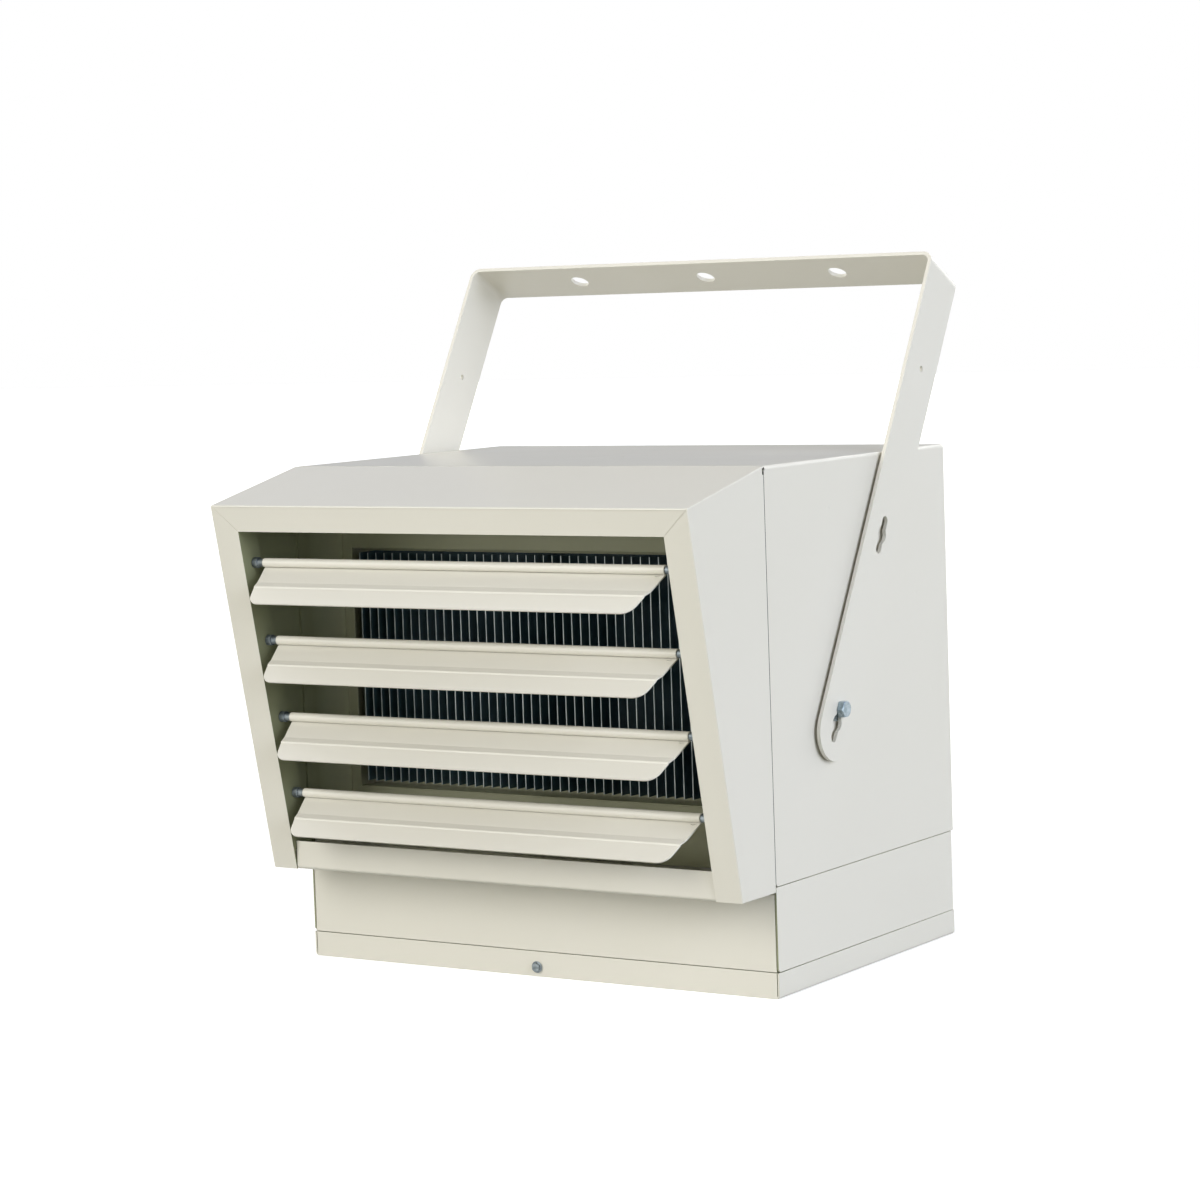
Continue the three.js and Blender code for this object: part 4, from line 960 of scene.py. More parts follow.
CASE_SCREW = Screw(length=9.0)
GUARD_SCREW = Screw(length=7.0)
MACHINE_SCREW = Screw(length=9.0, flange=3.9, corner=3.2, shank=2.0, pitch=0.7)


# ---------------------------------------------------------------- casing


@dataclass(frozen=True)
class Casing(Heater):
    """The cabinet's shell, the rear panel and the wiring compartment under them."""

    lap: float = 13.0
    wrapper_bottom: float = 71.7
    tray_seam: float = 17.0
    orifice: float = 112.0
    orifice_lip: float = 6.0
    lip_roll: float = 4.0
    knockout: Point = (0.0, -18.0)
    knockout_radius: float = 14.0
    knockout_bead: float = 0.42
    dimple_out: float = 6.55
    dimples: tuple[Point, ...] = ((75.5, 239.0), (94.5, 172.6), (-40.0, 304.0))
    door_screw_z: float = 6.4
    hinge: Point = (122.0, 3.0)
    hinge_reach: float = 100.6

    def wrapper(self) -> Form:
        """The bent sheet over the top and sides, with its knockout and dimples pressed in."""
        shell = Form.copied("cabinet_wrapper")
        ring = Form.ring(self.knockout_radius, self.knockout_bead, 64, 8)
        tools = [ring.shifted(*self.knockout, self.height + 0.08)]
        bowl = [(0, 7), (2.68, 6.47), (4.95, 4.95), (6.47, 2.68)]
        for y, z in self.dimples:
            for side in Side:
                ball = Form.turned([*((r, -h) for r, h in bowl), (7, 0), *reversed(bowl)], 24)
                tools.append(ball.shifted(side.value * (self.half + self.dimple_out), y, z))
        return shell.cut(*tools).soft_where(SEAM_EDGE, 3, self.at_hood).soft(SHEET_EDGE)

    def at_hood(self, edge: bmesh.types.BMEdge) -> bool:
        """Whether an edge runs up one side of the seam between the wrapper and the hood.

        Args:
            edge: an edge of the wrapper or of the hood's shell.

        Returns:
            True for the long edges beside the seam.
        """
        ends = [vert.co for vert in edge.verts]
        long = edge.calc_length() > 60 and edge.calc_face_angle(0.0) > CORNER
        return long and all(abs(end.x) > self.half - TOUCH and abs(end.y - self.front) < 0.6
                            for end in ends)

    def rear_panel(self) -> Form:
        """The flat panel with the fan's inlet, whose lip is rolled forwards."""
        front = self.rear + self.gap
        back = front + self.sheet
        bead = self.orifice + self.lip_roll
        mouth = bead + 1
        reach = self.half - 2
        corners = rectangle((-reach, self.wrapper_bottom + 2), (reach, self.height - 2), 3.0)
        plate = Form.drawn(corners, Along.Y, front, back)
        hole = Form.drawn(circle(mouth, 128, (0, self.fan_axis)), Along.Y, front - 1, back + 1)
        inner, outer = self.lip_roll, self.lip_roll - self.sheet
        turns = [math.radians(angle) for angle in range(0, 91, 15)]
        tip = self.rear - self.orifice_lip - back
        profile = [(bead - inner * math.sin(t), -inner + inner * math.cos(t)) for t in turns]
        profile += [(self.orifice, tip), (self.orifice + self.sheet, tip)]
        turns.reverse()
        profile += [(bead - outer * math.sin(t), -inner + outer * math.cos(t)) for t in turns]
        profile += [(mouth, -self.sheet), (mouth, 0)]
        lip = Form.turned(profile, 128, closed=True)
        lip.aimed(REARWARD, (0, back, self.fan_axis))
        return plate.cut(hole).soft(0.2).with_forms(lip)

    def hinge_pin(self) -> Form:
        """The door's hinge pin with a domed head at each end."""
        reach = self.hinge_reach
        tip = reach + 1.2
        head = [(1.1, reach), (2.1, reach), (2.0, reach + 0.7), (1.4, tip), (0, tip)]
        profile = [*((radius, -x) for radius, x in reversed(head)), *head]
        return Form.turned(profile, 24).aimed(RIGHTWARD, (0, *self.hinge))

    def door_nut(self) -> Form:
        """A folded sheet nut clipped behind the front panel's tab."""
        seat = self.front + 2 * self.sheet + 2 * self.gap
        z = self.door_screw_z
        plate = Form.drawn(rectangle((-5, z - 4), (5, z + 5), 1.0), Along.Y, seat, seat + 1.2)
        collar = Form.turned([(2.3, 0), (3.4, 0), (3.2, 1.2), (2.3, 1.2)], 24, closed=True)
        collar.aimed(REARWARD, (0, seat + 1.2, z))
        bore = Form.drawn(circle(2.3, 24, (0, z)), Along.Y, seat - 1, seat + 3)
        return plate.cut(bore).soft(0.15).with_forms(collar)

    def screw_places(self) -> list[Point]:
        """Where the four case screws go through the rear panel, as x and z."""
        x = self.half - self.sheet - self.lap / 2
        low, high = self.wrapper_bottom + 2 * self.lap, self.height - 2 * self.lap
        return [(-x, low), (x, low), (-x, high), (x, high)]

    def faces_in(self, centre: Vector, normal: Vector) -> bool:
        """Whether a face of the wrapper is on its inner side."""
        within = abs(centre.x) < self.half - 1 and centre.z < self.height - 1
        return within and centre.y < self.rear - 2

    def front_edge(self, centre: Vector, normal: Vector) -> bool:
        """Whether a face is the front edge of a side of the wrapper, in the seam to the hood."""
        at_side = abs(centre.x) > self.half - 2
        return at_side and normal.y < -0.6 and centre.y < self.front + 0.5

    def in_seam(self, centre: Vector, normal: Vector) -> bool:
        """Whether a face shows only through a seam.

        Args:
            centre: the face's centre.
            normal: its normal.

        Returns:
            True for an edge's own face and for the lap behind a seam.
        """
        x, wall = abs(centre.x), self.half - self.sheet
        edge = abs(normal.z) > 0.9 or normal.y < -0.9 and x > wall
        lap = self.half - 3 < x < wall and normal.x * centre.x > 0.9 * self.half
        levels = (self.tray_seam, self.wrapper_bottom)
        at_seam = any(abs(centre.z - level) < 0.6 for level in levels)
        return at_seam and edge or lap or edge and normal.y < -0.9

    def build(self) -> None:
        """Makes and dresses the casing's pieces."""
        wrapper = fit(self.wrapper(), "cabinet_wrapper", ENAMEL)
        # Painted shade on the wrapper's inner faces.
        INNER_SHADE.dress_where(wrapper, self.faces_in)
        # Painted shade on the wrapper's front edges in the seam to the hood.
        SEAM_SHADE.dress_where(wrapper, self.front_edge)
        fit(self.rear_panel(), "rear_panel", ENAMEL)
        for node in ("base_housing", "base_front_panel", "divider_plate", "access_door"):
            piece = fit(Form.copied(node).soft(SHEET_EDGE), node, ENAMEL)
            # Painted shade on the edges and laps that show through the horizontal seams.
            INNER_SHADE.dress_where(piece, self.in_seam)
        fit(self.hinge_pin(), "door_hinge_pin", ZINC)
        face = (0, self.front - self.gap, self.door_screw_z)
        fit(MACHINE_SCREW.form(face, FORWARD), "door_screw", DULL_ZINC)
        fit(self.door_nut(), "door_screw_nut", ZINC)
        seat = self.rear + 2 * self.gap + self.sheet
        for number, (x, z) in enumerate(self.screw_places(), 1):
            fit(CASE_SCREW.form((x, seat, z), REARWARD), f"case_screw_{number}", ZINC)


# ---------------------------------------------------------------- discharge hood


@dataclass(frozen=True)
class SlopedFace:
    """The slanted face of the hood: down runs along it from its top and inwards is square to it."""

    top: Point = (-211.3, 316.2)
    bottom: Point = (-161.1, 67.9)

    @property
    def start(self) -> Vector:
        """The middle of the face's top edge."""
        return Vector((0, *self.top))

    @property
    def down(self) -> Vector:
        """The direction down the face."""
        return Vector((0, self.bottom[0] - self.top[0], self.bottom[1] - self.top[1])).normalized()

    @property
    def inwards(self) -> Vector:
        """The direction into the hood, square to the face."""
        return Vector(RIGHTWARD).cross(self.down)

    @property
    def frame(self) -> Matrix:
        """The move from a drawing of the face, with x across and y down it, to the heater."""
        turn = Matrix((Vector(RIGHTWARD), self.down, self.inwards)).transposed().to_4x4()
        return Matrix.Translation(self.start) @ turn

    def place(self, down: float, inwards: float) -> Vector:
        """A point on the hood's middle plane, by its distances from the face's top edge."""
        return self.start + self.down * down + self.inwards * inwards

    def depth_of(self, point: Vector) -> float:
        """How far a point is behind the face."""
        return (point - self.start).dot(self.inwards)


@dataclass(frozen=True)
class Louvre(Heater):
    """One blade of the outlet, rolled round its pins at the top and ridged along its middle."""

    blade_sheet: float = 1.0
    hem: float = 3.1
    droop: float = 34.9
    panel: float = 17.6
    ridge: float = 5.3
    rise: float = 1.3
    crest: float = 0.5
    crest_run: float = 0.9
    reach: float = 38.5
    taper: float = 0.24
    corner: float = 7.0
    columns: tuple[float, ...] = (-1.0, -0.94, -0.5, 0.0, 0.5, 0.94, 1.0)

    def section(self) -> list[tuple[float, float]]:
        """The sheet's middle line from the rolled edge to the tip, in the blade's own plane."""
        curl = self.hem - self.blade_sheet / 2
        turns = [math.radians(angle) for angle in range(-28, 270, 13)]
        line = [(curl * math.cos(t), curl * math.sin(t)) for t in turns]
        ridge = self.panel + self.ridge
        foot, low = ridge + self.crest_run, self.rise - self.crest - curl
        run = [(0.0, -curl), (self.panel, -curl), (ridge, self.rise - curl), (foot, low),
               (self.reach, -curl)]
        bent = [tuple(point.xy) for point in rounded(run, 0.8, 4)]
        slope = (low + curl) / (self.reach - foot)
        rounds = [1 - math.sin(math.radians(angle)) for angle in range(0, 91, 15)]
        ends = [self.reach - self.corner * share for share in rounds]
        return line + bent[:-1] + [(x, low - slope * (x - foot)) for x in ends]

    def width_at(self, down: float) -> float:
        """Half of the blade's width at a distance below its pivot.

        Args:
            down: the distance.

        Returns:
            The half width, which shrinks with the taper and round the lower corners.
        """
        half = self.blade_half - self.taper * max(down - self.hem, 0.0)
        into = down - (self.reach - self.corner)
        if into > 0:
            half -= self.corner - math.sqrt(max(self.corner ** 2 - into ** 2, 0.0))
        return half

    def form(self, pivot: Vector) -> Form:
        """The blade, hung at its droop and notched at the right end of its rolled edge.

        Args:
            pivot: the middle of its pivots' axis.

        Returns:
            The blade in its place.
        """
        section = self.section()

        def place(row: int, column: int) -> Point:
            """The point of the sheet at a row and a column."""
            down, rise = section[row]
            return (down, self.columns[column] * self.width_at(down), rise)

        blade = Form.sheet(len(section) - 1, len(self.columns) - 1, place).thick(self.blade_sheet)
        low, end = self.blade_sheet / 2 - self.hem, self.blade_half - 3.5
        blade.cut(Form.block((3.4, end - 3.4, low - 2), (4.3, end, low + 2)))
        angle = math.radians(self.droop)
        down = Vector((0, -math.cos(angle), -math.sin(angle)))
        across = Vector(RIGHTWARD)
        turn = Matrix((down, across, down.cross(across))).transposed().to_4x4()
        return blade.facing_out().soft(0.14).moved(Matrix.Translation(pivot) @ turn)


@dataclass(frozen=True)
class PivotStud(Heater):
    """A zinc stud that is riveted to the hood and goes into the rolled edge of a blade."""

    pin: float = 1.5
    shank: float = 2.0
    neck: float = 2.7
    collar: float = 3.6
    pin_depth: float = 7.0

    def form(self, side: Side, pivot: Vector) -> Form:
        """The stud, pointing outwards from its pin.

        Args:
            side: the side of the blade.
            pivot: the middle of the blade's axis.

        Returns:
            The stud in its place.
        """
        tip = self.blade_half - self.pin_depth
        start = self.blade_half + self.gap
        seat = self.opening - self.gap
        rivet = self.opening + self.sheet + self.gap
        step = (start + seat) / 2
        profile = [(0, tip), (self.pin - 0.4, tip), (self.pin, tip + 0.6), (self.pin, start),
                   (self.neck - 0.2, start), (self.neck, start + 0.2), (self.neck, step),
                   (self.collar - 0.25, step), (self.collar, step + 0.25),
                   (self.collar, seat - 0.2), (self.collar - 0.2, seat), (self.shank, seat),
                   (self.shank, rivet), (self.collar - 0.3, rivet), (self.collar, rivet + 0.3),
                   (self.shank, rivet + self.sheet), (0, rivet + self.sheet)]
        return Form.turned(profile, 28).aimed((side.value, 0, 0), pivot)


@dataclass(frozen=True)
class DischargeHood(Heater):
    """The sloped hood with its framed outlet and four louvres."""

    rail: float = 17.8
    first: float = 42.0
    pitch: float = 53.5
    inset: float = 11.0
    louvres: int = 4
    corner_round: float = 0.9
    depth: float = 91.3
    drop: float = 19.8
    floor: float = 67.9
    relief: Point = (-121.0, 332.6)
    face: SlopedFace = SlopedFace()

    def is_outer(self, edge: bmesh.types.BMEdge) -> bool:
        """Whether an edge is one of the hood's long outer corners.

        Args:
            edge: an edge of the shell.

        Returns:
            True for the corners round the outlet's face and along the sides.
        """
        if edge.calc_length() < 40 or edge.calc_face_angle(0.0) < CORNER:
            return False
        first, last = (vert.co for vert in edge.verts)
        middle = (first + last) / 2
        on_face = abs(self.face.depth_of(middle)) < TOUCH
        on_side = abs(abs(middle.x) - self.half) < TOUCH
        on_rim = abs(middle.z - self.face.top[1]) < 0.6 or on_side
        along_x = abs(first.x - last.x) > 40
        return middle.y < self.front - 1 and (on_face and on_rim or on_side and not along_x)

    def shell(self) -> Form:
        """The shell with its corners folded round, mitres scored and rear corners relieved."""
        shell = Form.copied("hood_shell")
        shell.soft_where(self.corner_round, 3, self.is_outer)
        shell.soft_where(SEAM_EDGE, 3, Casing().at_hood)
        relief = slot_outline(4.4, 0.8, self.relief)
        mitres, reliefs = [], []
        for side in Side:
            run = Vector((-side.value * (self.half - self.opening), self.rail, 0))
            score = Form.block((0, -0.16, -0.3), (run.length - 1.4, 0.16, 0.3)).shifted(x=1.2)
            turn = Matrix.Rotation(math.atan2(run.y, run.x), 4, "Z")
            start = Matrix.Translation((side.value * self.half, 0, 0)) @ turn
            mitres.append(score.moved(self.face.frame @ start))
            ends = (side.value * (self.half - self.sheet - 0.2), side.value * (self.half + 1))
            reliefs.append(Form.drawn(relief, Along.X, *sorted(ends)))
        return shell.cut(*mitres, *reliefs)

    def in_seam(self, centre: Vector, normal: Vector) -> bool:
        """Whether a face is an edge in the seam to the cabinet, or the lap behind it."""
        lap = centre.y > self.front - 2 and abs(centre.x) < self.half - self.sheet + 0.2
        edge = normal.y > 0.9 and centre.y > self.front - 1
        return lap and normal.x * centre.x > 0.9 * self.half or edge

    def faces_in(self, centre: Vector, normal: Vector) -> bool:
        """Whether a face of the shell is on its inner side.

        Args:
            centre: the face's centre.
            normal: its normal.

        Returns:
            True for the faces that line the air's way.
        """
        if self.face.depth_of(centre) < self.sheet - 0.1 or abs(centre.x) > self.half - 0.5:
            return False
        over = self.height - 1.0 + (centre.y - self.front) * self.drop / self.depth
        return centre.z < over and not (normal.z < -0.9 and centre.z < self.floor + 0.5)

    def on_floor(self, centre: Vector, normal: Vector) -> bool:
        """Whether a face of the bottom sheet is on its upper side."""
        return normal.z > 0.5 and centre.z < self.floor + 4

    def build(self) -> None:
        """Makes and dresses the hood's pieces."""
        shell = fit(self.shell(), "hood_shell", ENAMEL)
        # Painted shade on the shell's inner faces.
        INNER_SHADE.dress_where(shell, self.faces_in)
        # Painted shade in the seam to the cabinet.
        SEAM_SHADE.dress_where(shell, self.in_seam)
        bottom = fit(Form.copied("hood_bottom").soft(SHEET_EDGE), "hood_bottom", ENAMEL)
        # Painted shade on the upper side of the hood's bottom sheet.
        INNER_SHADE.dress_where(bottom, self.on_floor)
        for number in range(1, self.louvres + 1):
            pivot = self.face.place(self.first + (number - 1) * self.pitch, self.inset)
            fit(Louvre().form(pivot), f"louver_{number}", ENAMEL)
            for side in Side:
                stud = PivotStud().form(side, pivot)
                fit(stud, f"louver_pivot_{side.word}_{number}", DULL_ZINC)


# ---------------------------------------------------------------- heating element


@dataclass(frozen=True)
class ElementPack(Heater):
    """Three sheathed rods through a pack of plate fins, with their holders and safety cut-out."""

    fins: int = 50
    pitch: float = 6.96
    fin_sheet: float = 0.8
    fin_front: float = -70.2
    fin_rear: float = -34.2
    fin_bottom: float = 115.0
    fin_top: float = 273.5
    rods: int = 3
    rod_pitch: float = 52.0
    rod_radius: float = 3.2
    rod_bend: float = 5.5
    tail: float = -8.2
    stud: float = 1.8
    stud_length: float = 9.0
    strap: float = 3.2
    strap_sheet: float = 1.2
    border: float = 4.1
    cutout: Point = (56.84, 306.8)
    cutout_face: float = -71.9

    @property
    def rod_y(self) -> float:
        """Where the rods run through the fins, along Y."""
        return (self.fin_front + self.fin_rear) / 2

    def heights(self) -> list[float]:
        """The height of each rod."""
        middle = (self.fin_bottom + self.fin_top) / 2
        return [middle + (i - (self.rods - 1) / 2) * self.rod_pitch for i in range(self.rods)]

    def fin_pack(self) -> list[Form]:
        """The fins, each with a drawn collar round every rod."""
        half, bore = self.fin_sheet / 2, self.rod_radius
        neck = bore + 0.5
        pack = []
        for i in range(self.fins):
            x = (i - (self.fins - 1) / 2) * self.pitch
            fin = Form.block((x - half, self.fin_front, self.fin_bottom),
                             (x + half, self.fin_rear, self.fin_top))
            pack.append(fin.soft(0.12, 1))
            for z in self.heights():
                collar = Form.turned([(bore, 0), (bore + 1.6, 0), (neck, 1.0), (neck, 2.6),
                                      (bore, 2.6)], 12)
                pack.append(collar.aimed(RIGHTWARD, (x + half, self.rod_y, z)))
        return pack

    def form(self) -> Form:
        """The whole element with its terminals and joining straps."""
        parts = self.fin_pack()
        bush, stud, end = self.rod_radius * 0.86, self.stud, self.stud_length
        for z in self.heights():
            corners = [(-self.rod_x, self.tail, z), (-self.rod_x, self.rod_y, z),
                       (self.rod_x, self.rod_y, z), (self.rod_x, self.tail, z)]
            parts.append(Form.tube(corners, self.rod_radius, self.rod_bend))
            for side in Side:
                x = side.value * self.rod_x
                terminal = Form.turned([(0, -0.4), (bush, -0.4), (bush, 1.4), (stud, 2.0),
                                        (stud, end - 0.4), (stud - 0.4, end), (0, end)], 16)
                parts.append(terminal.aimed(REARWARD, (x, self.tail, z)))
                nut = HexHead(3.1, 2.0, 0.4).form()
                parts.append(nut.aimed(REARWARD, (x, self.tail + end / 2 + 1.2, z)))
        low, high = self.heights()[0] - self.strap, self.heights()[-1] + self.strap
        seat = self.tail + end / 2
        for side in Side:
            x = side.value * self.rod_x
            outline = rectangle((x - self.strap, low), (x + self.strap, high), 2.0)
            parts.append(Form.drawn(outline, Along.Y, seat, seat + self.strap_sheet).soft(0.15))
        return Form().with_forms(*parts)

    def cutout_form(self) -> Form:
        """The round safety cut-out with its flange and two blade terminals."""
        (x, z), face = self.cutout, self.cutout_face
        body = Form.turned([(0, 0), (11, 0), (11, 0.9), (10.6, 1.2), (8.8, 1.2), (8.5, 1.6),
                            (8.5, 7.2), (7.8, 8.0), (0, 8.0)])
        body.aimed(REARWARD, (x, face, z))
        for middle in (x - 4.5, x + 4.5):
            outline = rectangle((middle - 0.4, z - 2.9), (middle + 0.4, z + 2.9), 0.2, 2)
            hole = Form.drawn(circle(0.9, 16, (face + 12.4, z)), Along.X, middle - 2, middle + 2)
            body.with_forms(Form.drawn(outline, Along.Y, face + 7, face + 14.8).cut(hole))
        return body

    def baffle(self) -> Form:
        """The baffle with a lip folded back from the top and the bottom of its window."""
        plate = Form.copied("element_baffle").soft(SHEET_EDGE)
        half = (self.fins - 1) * self.pitch / 2 + self.border - 0.4
        back, tip = self.fin_front - 2.2, self.fin_front + 12
        for edge, inward in ((self.fin_top + self.border, -1), (self.fin_bottom - self.border, 1)):
            out, mid, inner = (edge + far * inward for far in (-0.2, 0.7, self.border - 0.7))
            line = [(back, out), (tip, out), (tip, inner), (tip - 0.9, inner), (tip - 0.9, mid),
                    (back, mid)]
            plate.with_forms(Form.drawn(line, Along.X, -half, half))
        return plate

    def build(self) -> None:
        """Makes and dresses the element's pieces."""
        # The baffle is dressed all over in the painted shade coat.
        fit(self.baffle(), "element_baffle", INNER_SHADE)
        fit(self.form(), "heating_element", FIN_STEEL)
        for side in Side:
            node = f"element_bracket_{side.word}"
            fit(Form.copied(node).soft(0.15), node, STEEL)
        fit(self.cutout_form(), "thermal_cutout", GREY_PLASTIC)


# ---------------------------------------------------------------- motor, fan and guard


@dataclass(frozen=True)
class FanUnit(Heater):
    """The motor on its stand, the fan on its shaft and the wire guard behind them."""

    fan_y: float = 98.0
    hub: float = 21.0
    hub_length: float = 18.0
    shaft: float = 4.0
    blades: int = 5
    blade_radius: float = 104.0
    blade_thickness: float = 1.3
    blade_pitch: float = 27.0
    motor: float = 43.0
    motor_length: float = 58.0
    motor_gap: float = 8.0
    bell: float = 7.0
    waist: float = 2.5
    ribs: int = 14
    vents: int = 10
    bolt_spread: float = 31.0
    stand_sheet: float = 2.0
    rings: int = 8
    ring_pitch: float = 13.3
    ring_inner: float = 18.0
    wire: float = 1.3
    lug: float = 7.0
    lug_radius: float = 126.0
    panel_rear: float = 121.5
    chords: tuple[Point, ...] = ((0.0, -8.0, 8.0), (0.2, -13.5, 12.5), (0.45, -22.5, 19.0),
                                 (0.7, -29.5, 24.5), (0.88, -31.0, 27.0), (0.95, -28.5, 25.5),
                                 (0.985, -23.0, 21.0), (1.0, -12.0, 14.0))
    stops: tuple[float, ...] = (0.0, 0.1, 0.2, 0.32, 0.45, 0.58, 0.7, 0.8, 0.88, 0.92, 0.95, 0.97,
                                0.985, 1.0)

    @property
    def motor_front(self) -> float:
        """Where the motor's front face is along Y."""
        return self.fan_y - self.hub_length / 2 - self.motor_gap - self.motor_length

    def motor_profile(self) -> list[Point]:
        """The motor's outline from its front to its rear, as radius and length."""
        outer, length, bell = self.motor, self.motor_length, self.bell
        waist, bore, round_from = outer - self.waist, self.shaft + 0.3, outer - bell
        start, end = bell * 2 + 0.6, length - bell * 2 - 0.6
        step, core = (end - start) / self.ribs, []
        for i in range(self.ribs):
            z = start + (end - start) * i / self.ribs
            core += [(waist, z), (waist, z + step * 0.62), (waist - 0.35, z + step * 0.7),
                     (waist - 0.35, z + step * 0.92)]
        turns = (0.4, 0.8, 1.2)
        front = [(round_from + bell * math.sin(t), bell - bell * math.cos(t)) for t in turns]
        rear = [(round_from + bell * math.sin(t), length - bell + bell * math.cos(t))
                for t in reversed(turns)]
        return [(0, 1.2), (12, 1.2), (14, 0), (17, 0), (round_from, 0), *front, (outer, bell),
                (outer, bell * 2 - 0.3), (outer - 0.3, bell * 2), (waist, bell * 2 + 0.3), *core,
                (waist, length - bell * 2 - 0.3), (outer - 0.3, length - bell * 2),
                (outer, length - bell * 2 + 0.3), (outer, length - bell), *rear,
                (round_from, length), (13, length), (12, length + 0.6), (10, length + 0.6),
                (8.8, length + 3), (bore, length + 3), (bore, length - 4), (0, length - 4)]

    def motor_form(self) -> Form:
        """A drum motor with two vented end bells and its laminated core between them."""
        outer, length = self.motor, self.motor_length
        vents = Form()
        for i in range(self.vents):
            turn = Matrix.Rotation(math.tau * (i + 0.5) / self.vents, 4, "Z")
            end = Form.drawn(slot_outline(16, 2.4, (0, 28)), Along.Z, length - 3, length + 2)
            side = Form.drawn(slot_outline(11, 2.0, (0, self.bell)), Along.X, outer - 3, outer + 3)
            vents.with_forms(end.moved(turn), side.moved(turn))
        holes = [Form.turned([(0, -1), (2.3, -1), (2.3, 9), (0, 9)], 20).shifted(x=x)
                 for x in (-self.bolt_spread, self.bolt_spread)]
        body = Form.turned(self.motor_profile(), 72).cut(vents, *holes)
        for i in range(4):
            turn = Matrix.Rotation(math.tau * (i + 0.5) / 4, 4, "Z")
            place = turn @ Matrix.Translation((outer - 9.5, 0, length))
            body.with_forms(HexHead(3.2, 2.0, 0.4).form().moved(place))
        return body.aimed(REARWARD, (0, self.motor_front, self.fan_axis))

    def shaft_form(self) -> Form:
        """The shaft with chamfered ends and a flat for the hub's set screw."""
        start = self.motor_front + 14 + self.gap
        end = self.fan_y + self.hub_length / 2 + 2
        bar = Form.turned([(0, start), (3.4, start), (self.shaft, start + 0.6),
                           (self.shaft, end - 0.6), (3.4, end), (0, end)], 32)
        flat = Form.block((3.2, -5, end - 14), (6, 5, end + 1))
        return bar.cut(flat).aimed(REARWARD, (0, 0, self.fan_axis))

    def chord_at(self, along: float) -> tuple[float, float]:
        """The leading and trailing edges of a blade.

        Args:
            along: the part of its length, from 0 to 1.

        Returns:
            How far each edge is from the blade's middle line.
        """
        for (a, low_a, high_a), (b, low_b, high_b) in zip(self.chords, self.chords[1:]):
            if along <= b:
                break
        part = (along - a) / (b - a)
        return (low_a + (low_b - low_a) * part, high_a + (high_b - high_a) * part)

    def blade_form(self) -> Form:
        """One cambered blade, reaching out along X."""
        columns, root, tip = 12, self.hub - 3, self.blade_radius - 1.2

        def place(row: int, column: int) -> Point:
            """The point of the sheet at a row and a column."""
            along = self.stops[row]
            low, high = self.chord_at(along)
            part = 2 * column / columns - 1
            camber = 2.6 * along ** 0.5 * (1 - part ** 2)
            return (root + (tip - root) * along, low + (high - low) * column / columns, camber)

        blade = Form.sheet(len(self.stops) - 1, columns, place).thick(self.blade_thickness)
        blade.facing_out().soft(0.15).aimed(REARWARD, (0, 0, 0))
        return blade.moved(Matrix.Rotation(math.radians(self.blade_pitch), 4, "X"))

    def fan_form(self) -> Form:
        """Five blades riveted to a turned hub."""
        half, bore, rim = self.hub_length / 2, self.shaft + 0.3, self.hub
        profile = [(bore, -half), (rim - 3, -half), (rim - 1, -half + 0.6), (rim, -half + 2),
                   (rim, half - 2), (rim - 1, half - 0.6), (rim - 3, half), (13, half),
                   (12, half - 1.5), (9, half - 1.5), (8.4, half), (bore, half)]
        hub = Form.turned(profile, 64, closed=True).aimed(REARWARD, (0, 0, 0))
        for i in range(self.blades):
            turn = Matrix.Rotation(i / self.blades * math.tau, 4, "Y")
            hub.with_forms(self.blade_form().moved(turn))
        return hub.shifted(y=self.fan_y, z=self.fan_axis)

    def lug_places(self) -> list[Point]:
        """Where the guard's four screws are, as x and z."""
        turns = (math.radians(45 * k) for k in (1, 3, 5, 7))
        return [(self.lug_radius * math.cos(t), self.fan_axis + self.lug_radius * math.sin(t))
                for t in turns]

    def guard_form(self) -> Form:
        """Wire rings on two crossing spokes, with a flattened eye at each end."""
        seat = self.panel_rear + self.gap
        spoke_y = seat + self.wire
        ring_y = spoke_y + self.wire * 1.4
        guard = Form()
        for i in range(self.rings):
            ring = Form.ring(self.ring_inner + i * self.ring_pitch, self.wire, 96)
            guard.with_forms(ring.aimed(REARWARD, (0, ring_y, self.fan_axis)))
        reach = self.lug_radius - 3.8 - self.wire
        middle = Vector((0, spoke_y, self.fan_axis))
        for turn in (math.radians(45), math.radians(135)):
            out = Vector((math.cos(turn), 0, math.sin(turn))) * reach
            guard.with_forms(Form.tube([middle - out, middle, middle + out], self.wire, 1.0, 12))
        rim = self.lug - 0.3
        for x, z in self.lug_places():
            eye = Form.turned([(2.1, 0), (rim, 0), (self.lug, 0.3), (self.lug, 0.9), (rim, 1.2),
                               (2.1, 1.2)], 40, closed=True)
            guard.with_forms(eye.aimed(REARWARD, (x, seat, z)))
        top = ring_y + self.wire - seat
        plate = Form.turned([(0, 0), (8.6, 0), (9, 0.4), (9, top - 1.4), (8, top - 0.6),
                             (5, top - 0.1), (0, top)])
        return guard.with_forms(plate.aimed(REARWARD, (0, seat, self.fan_axis)))

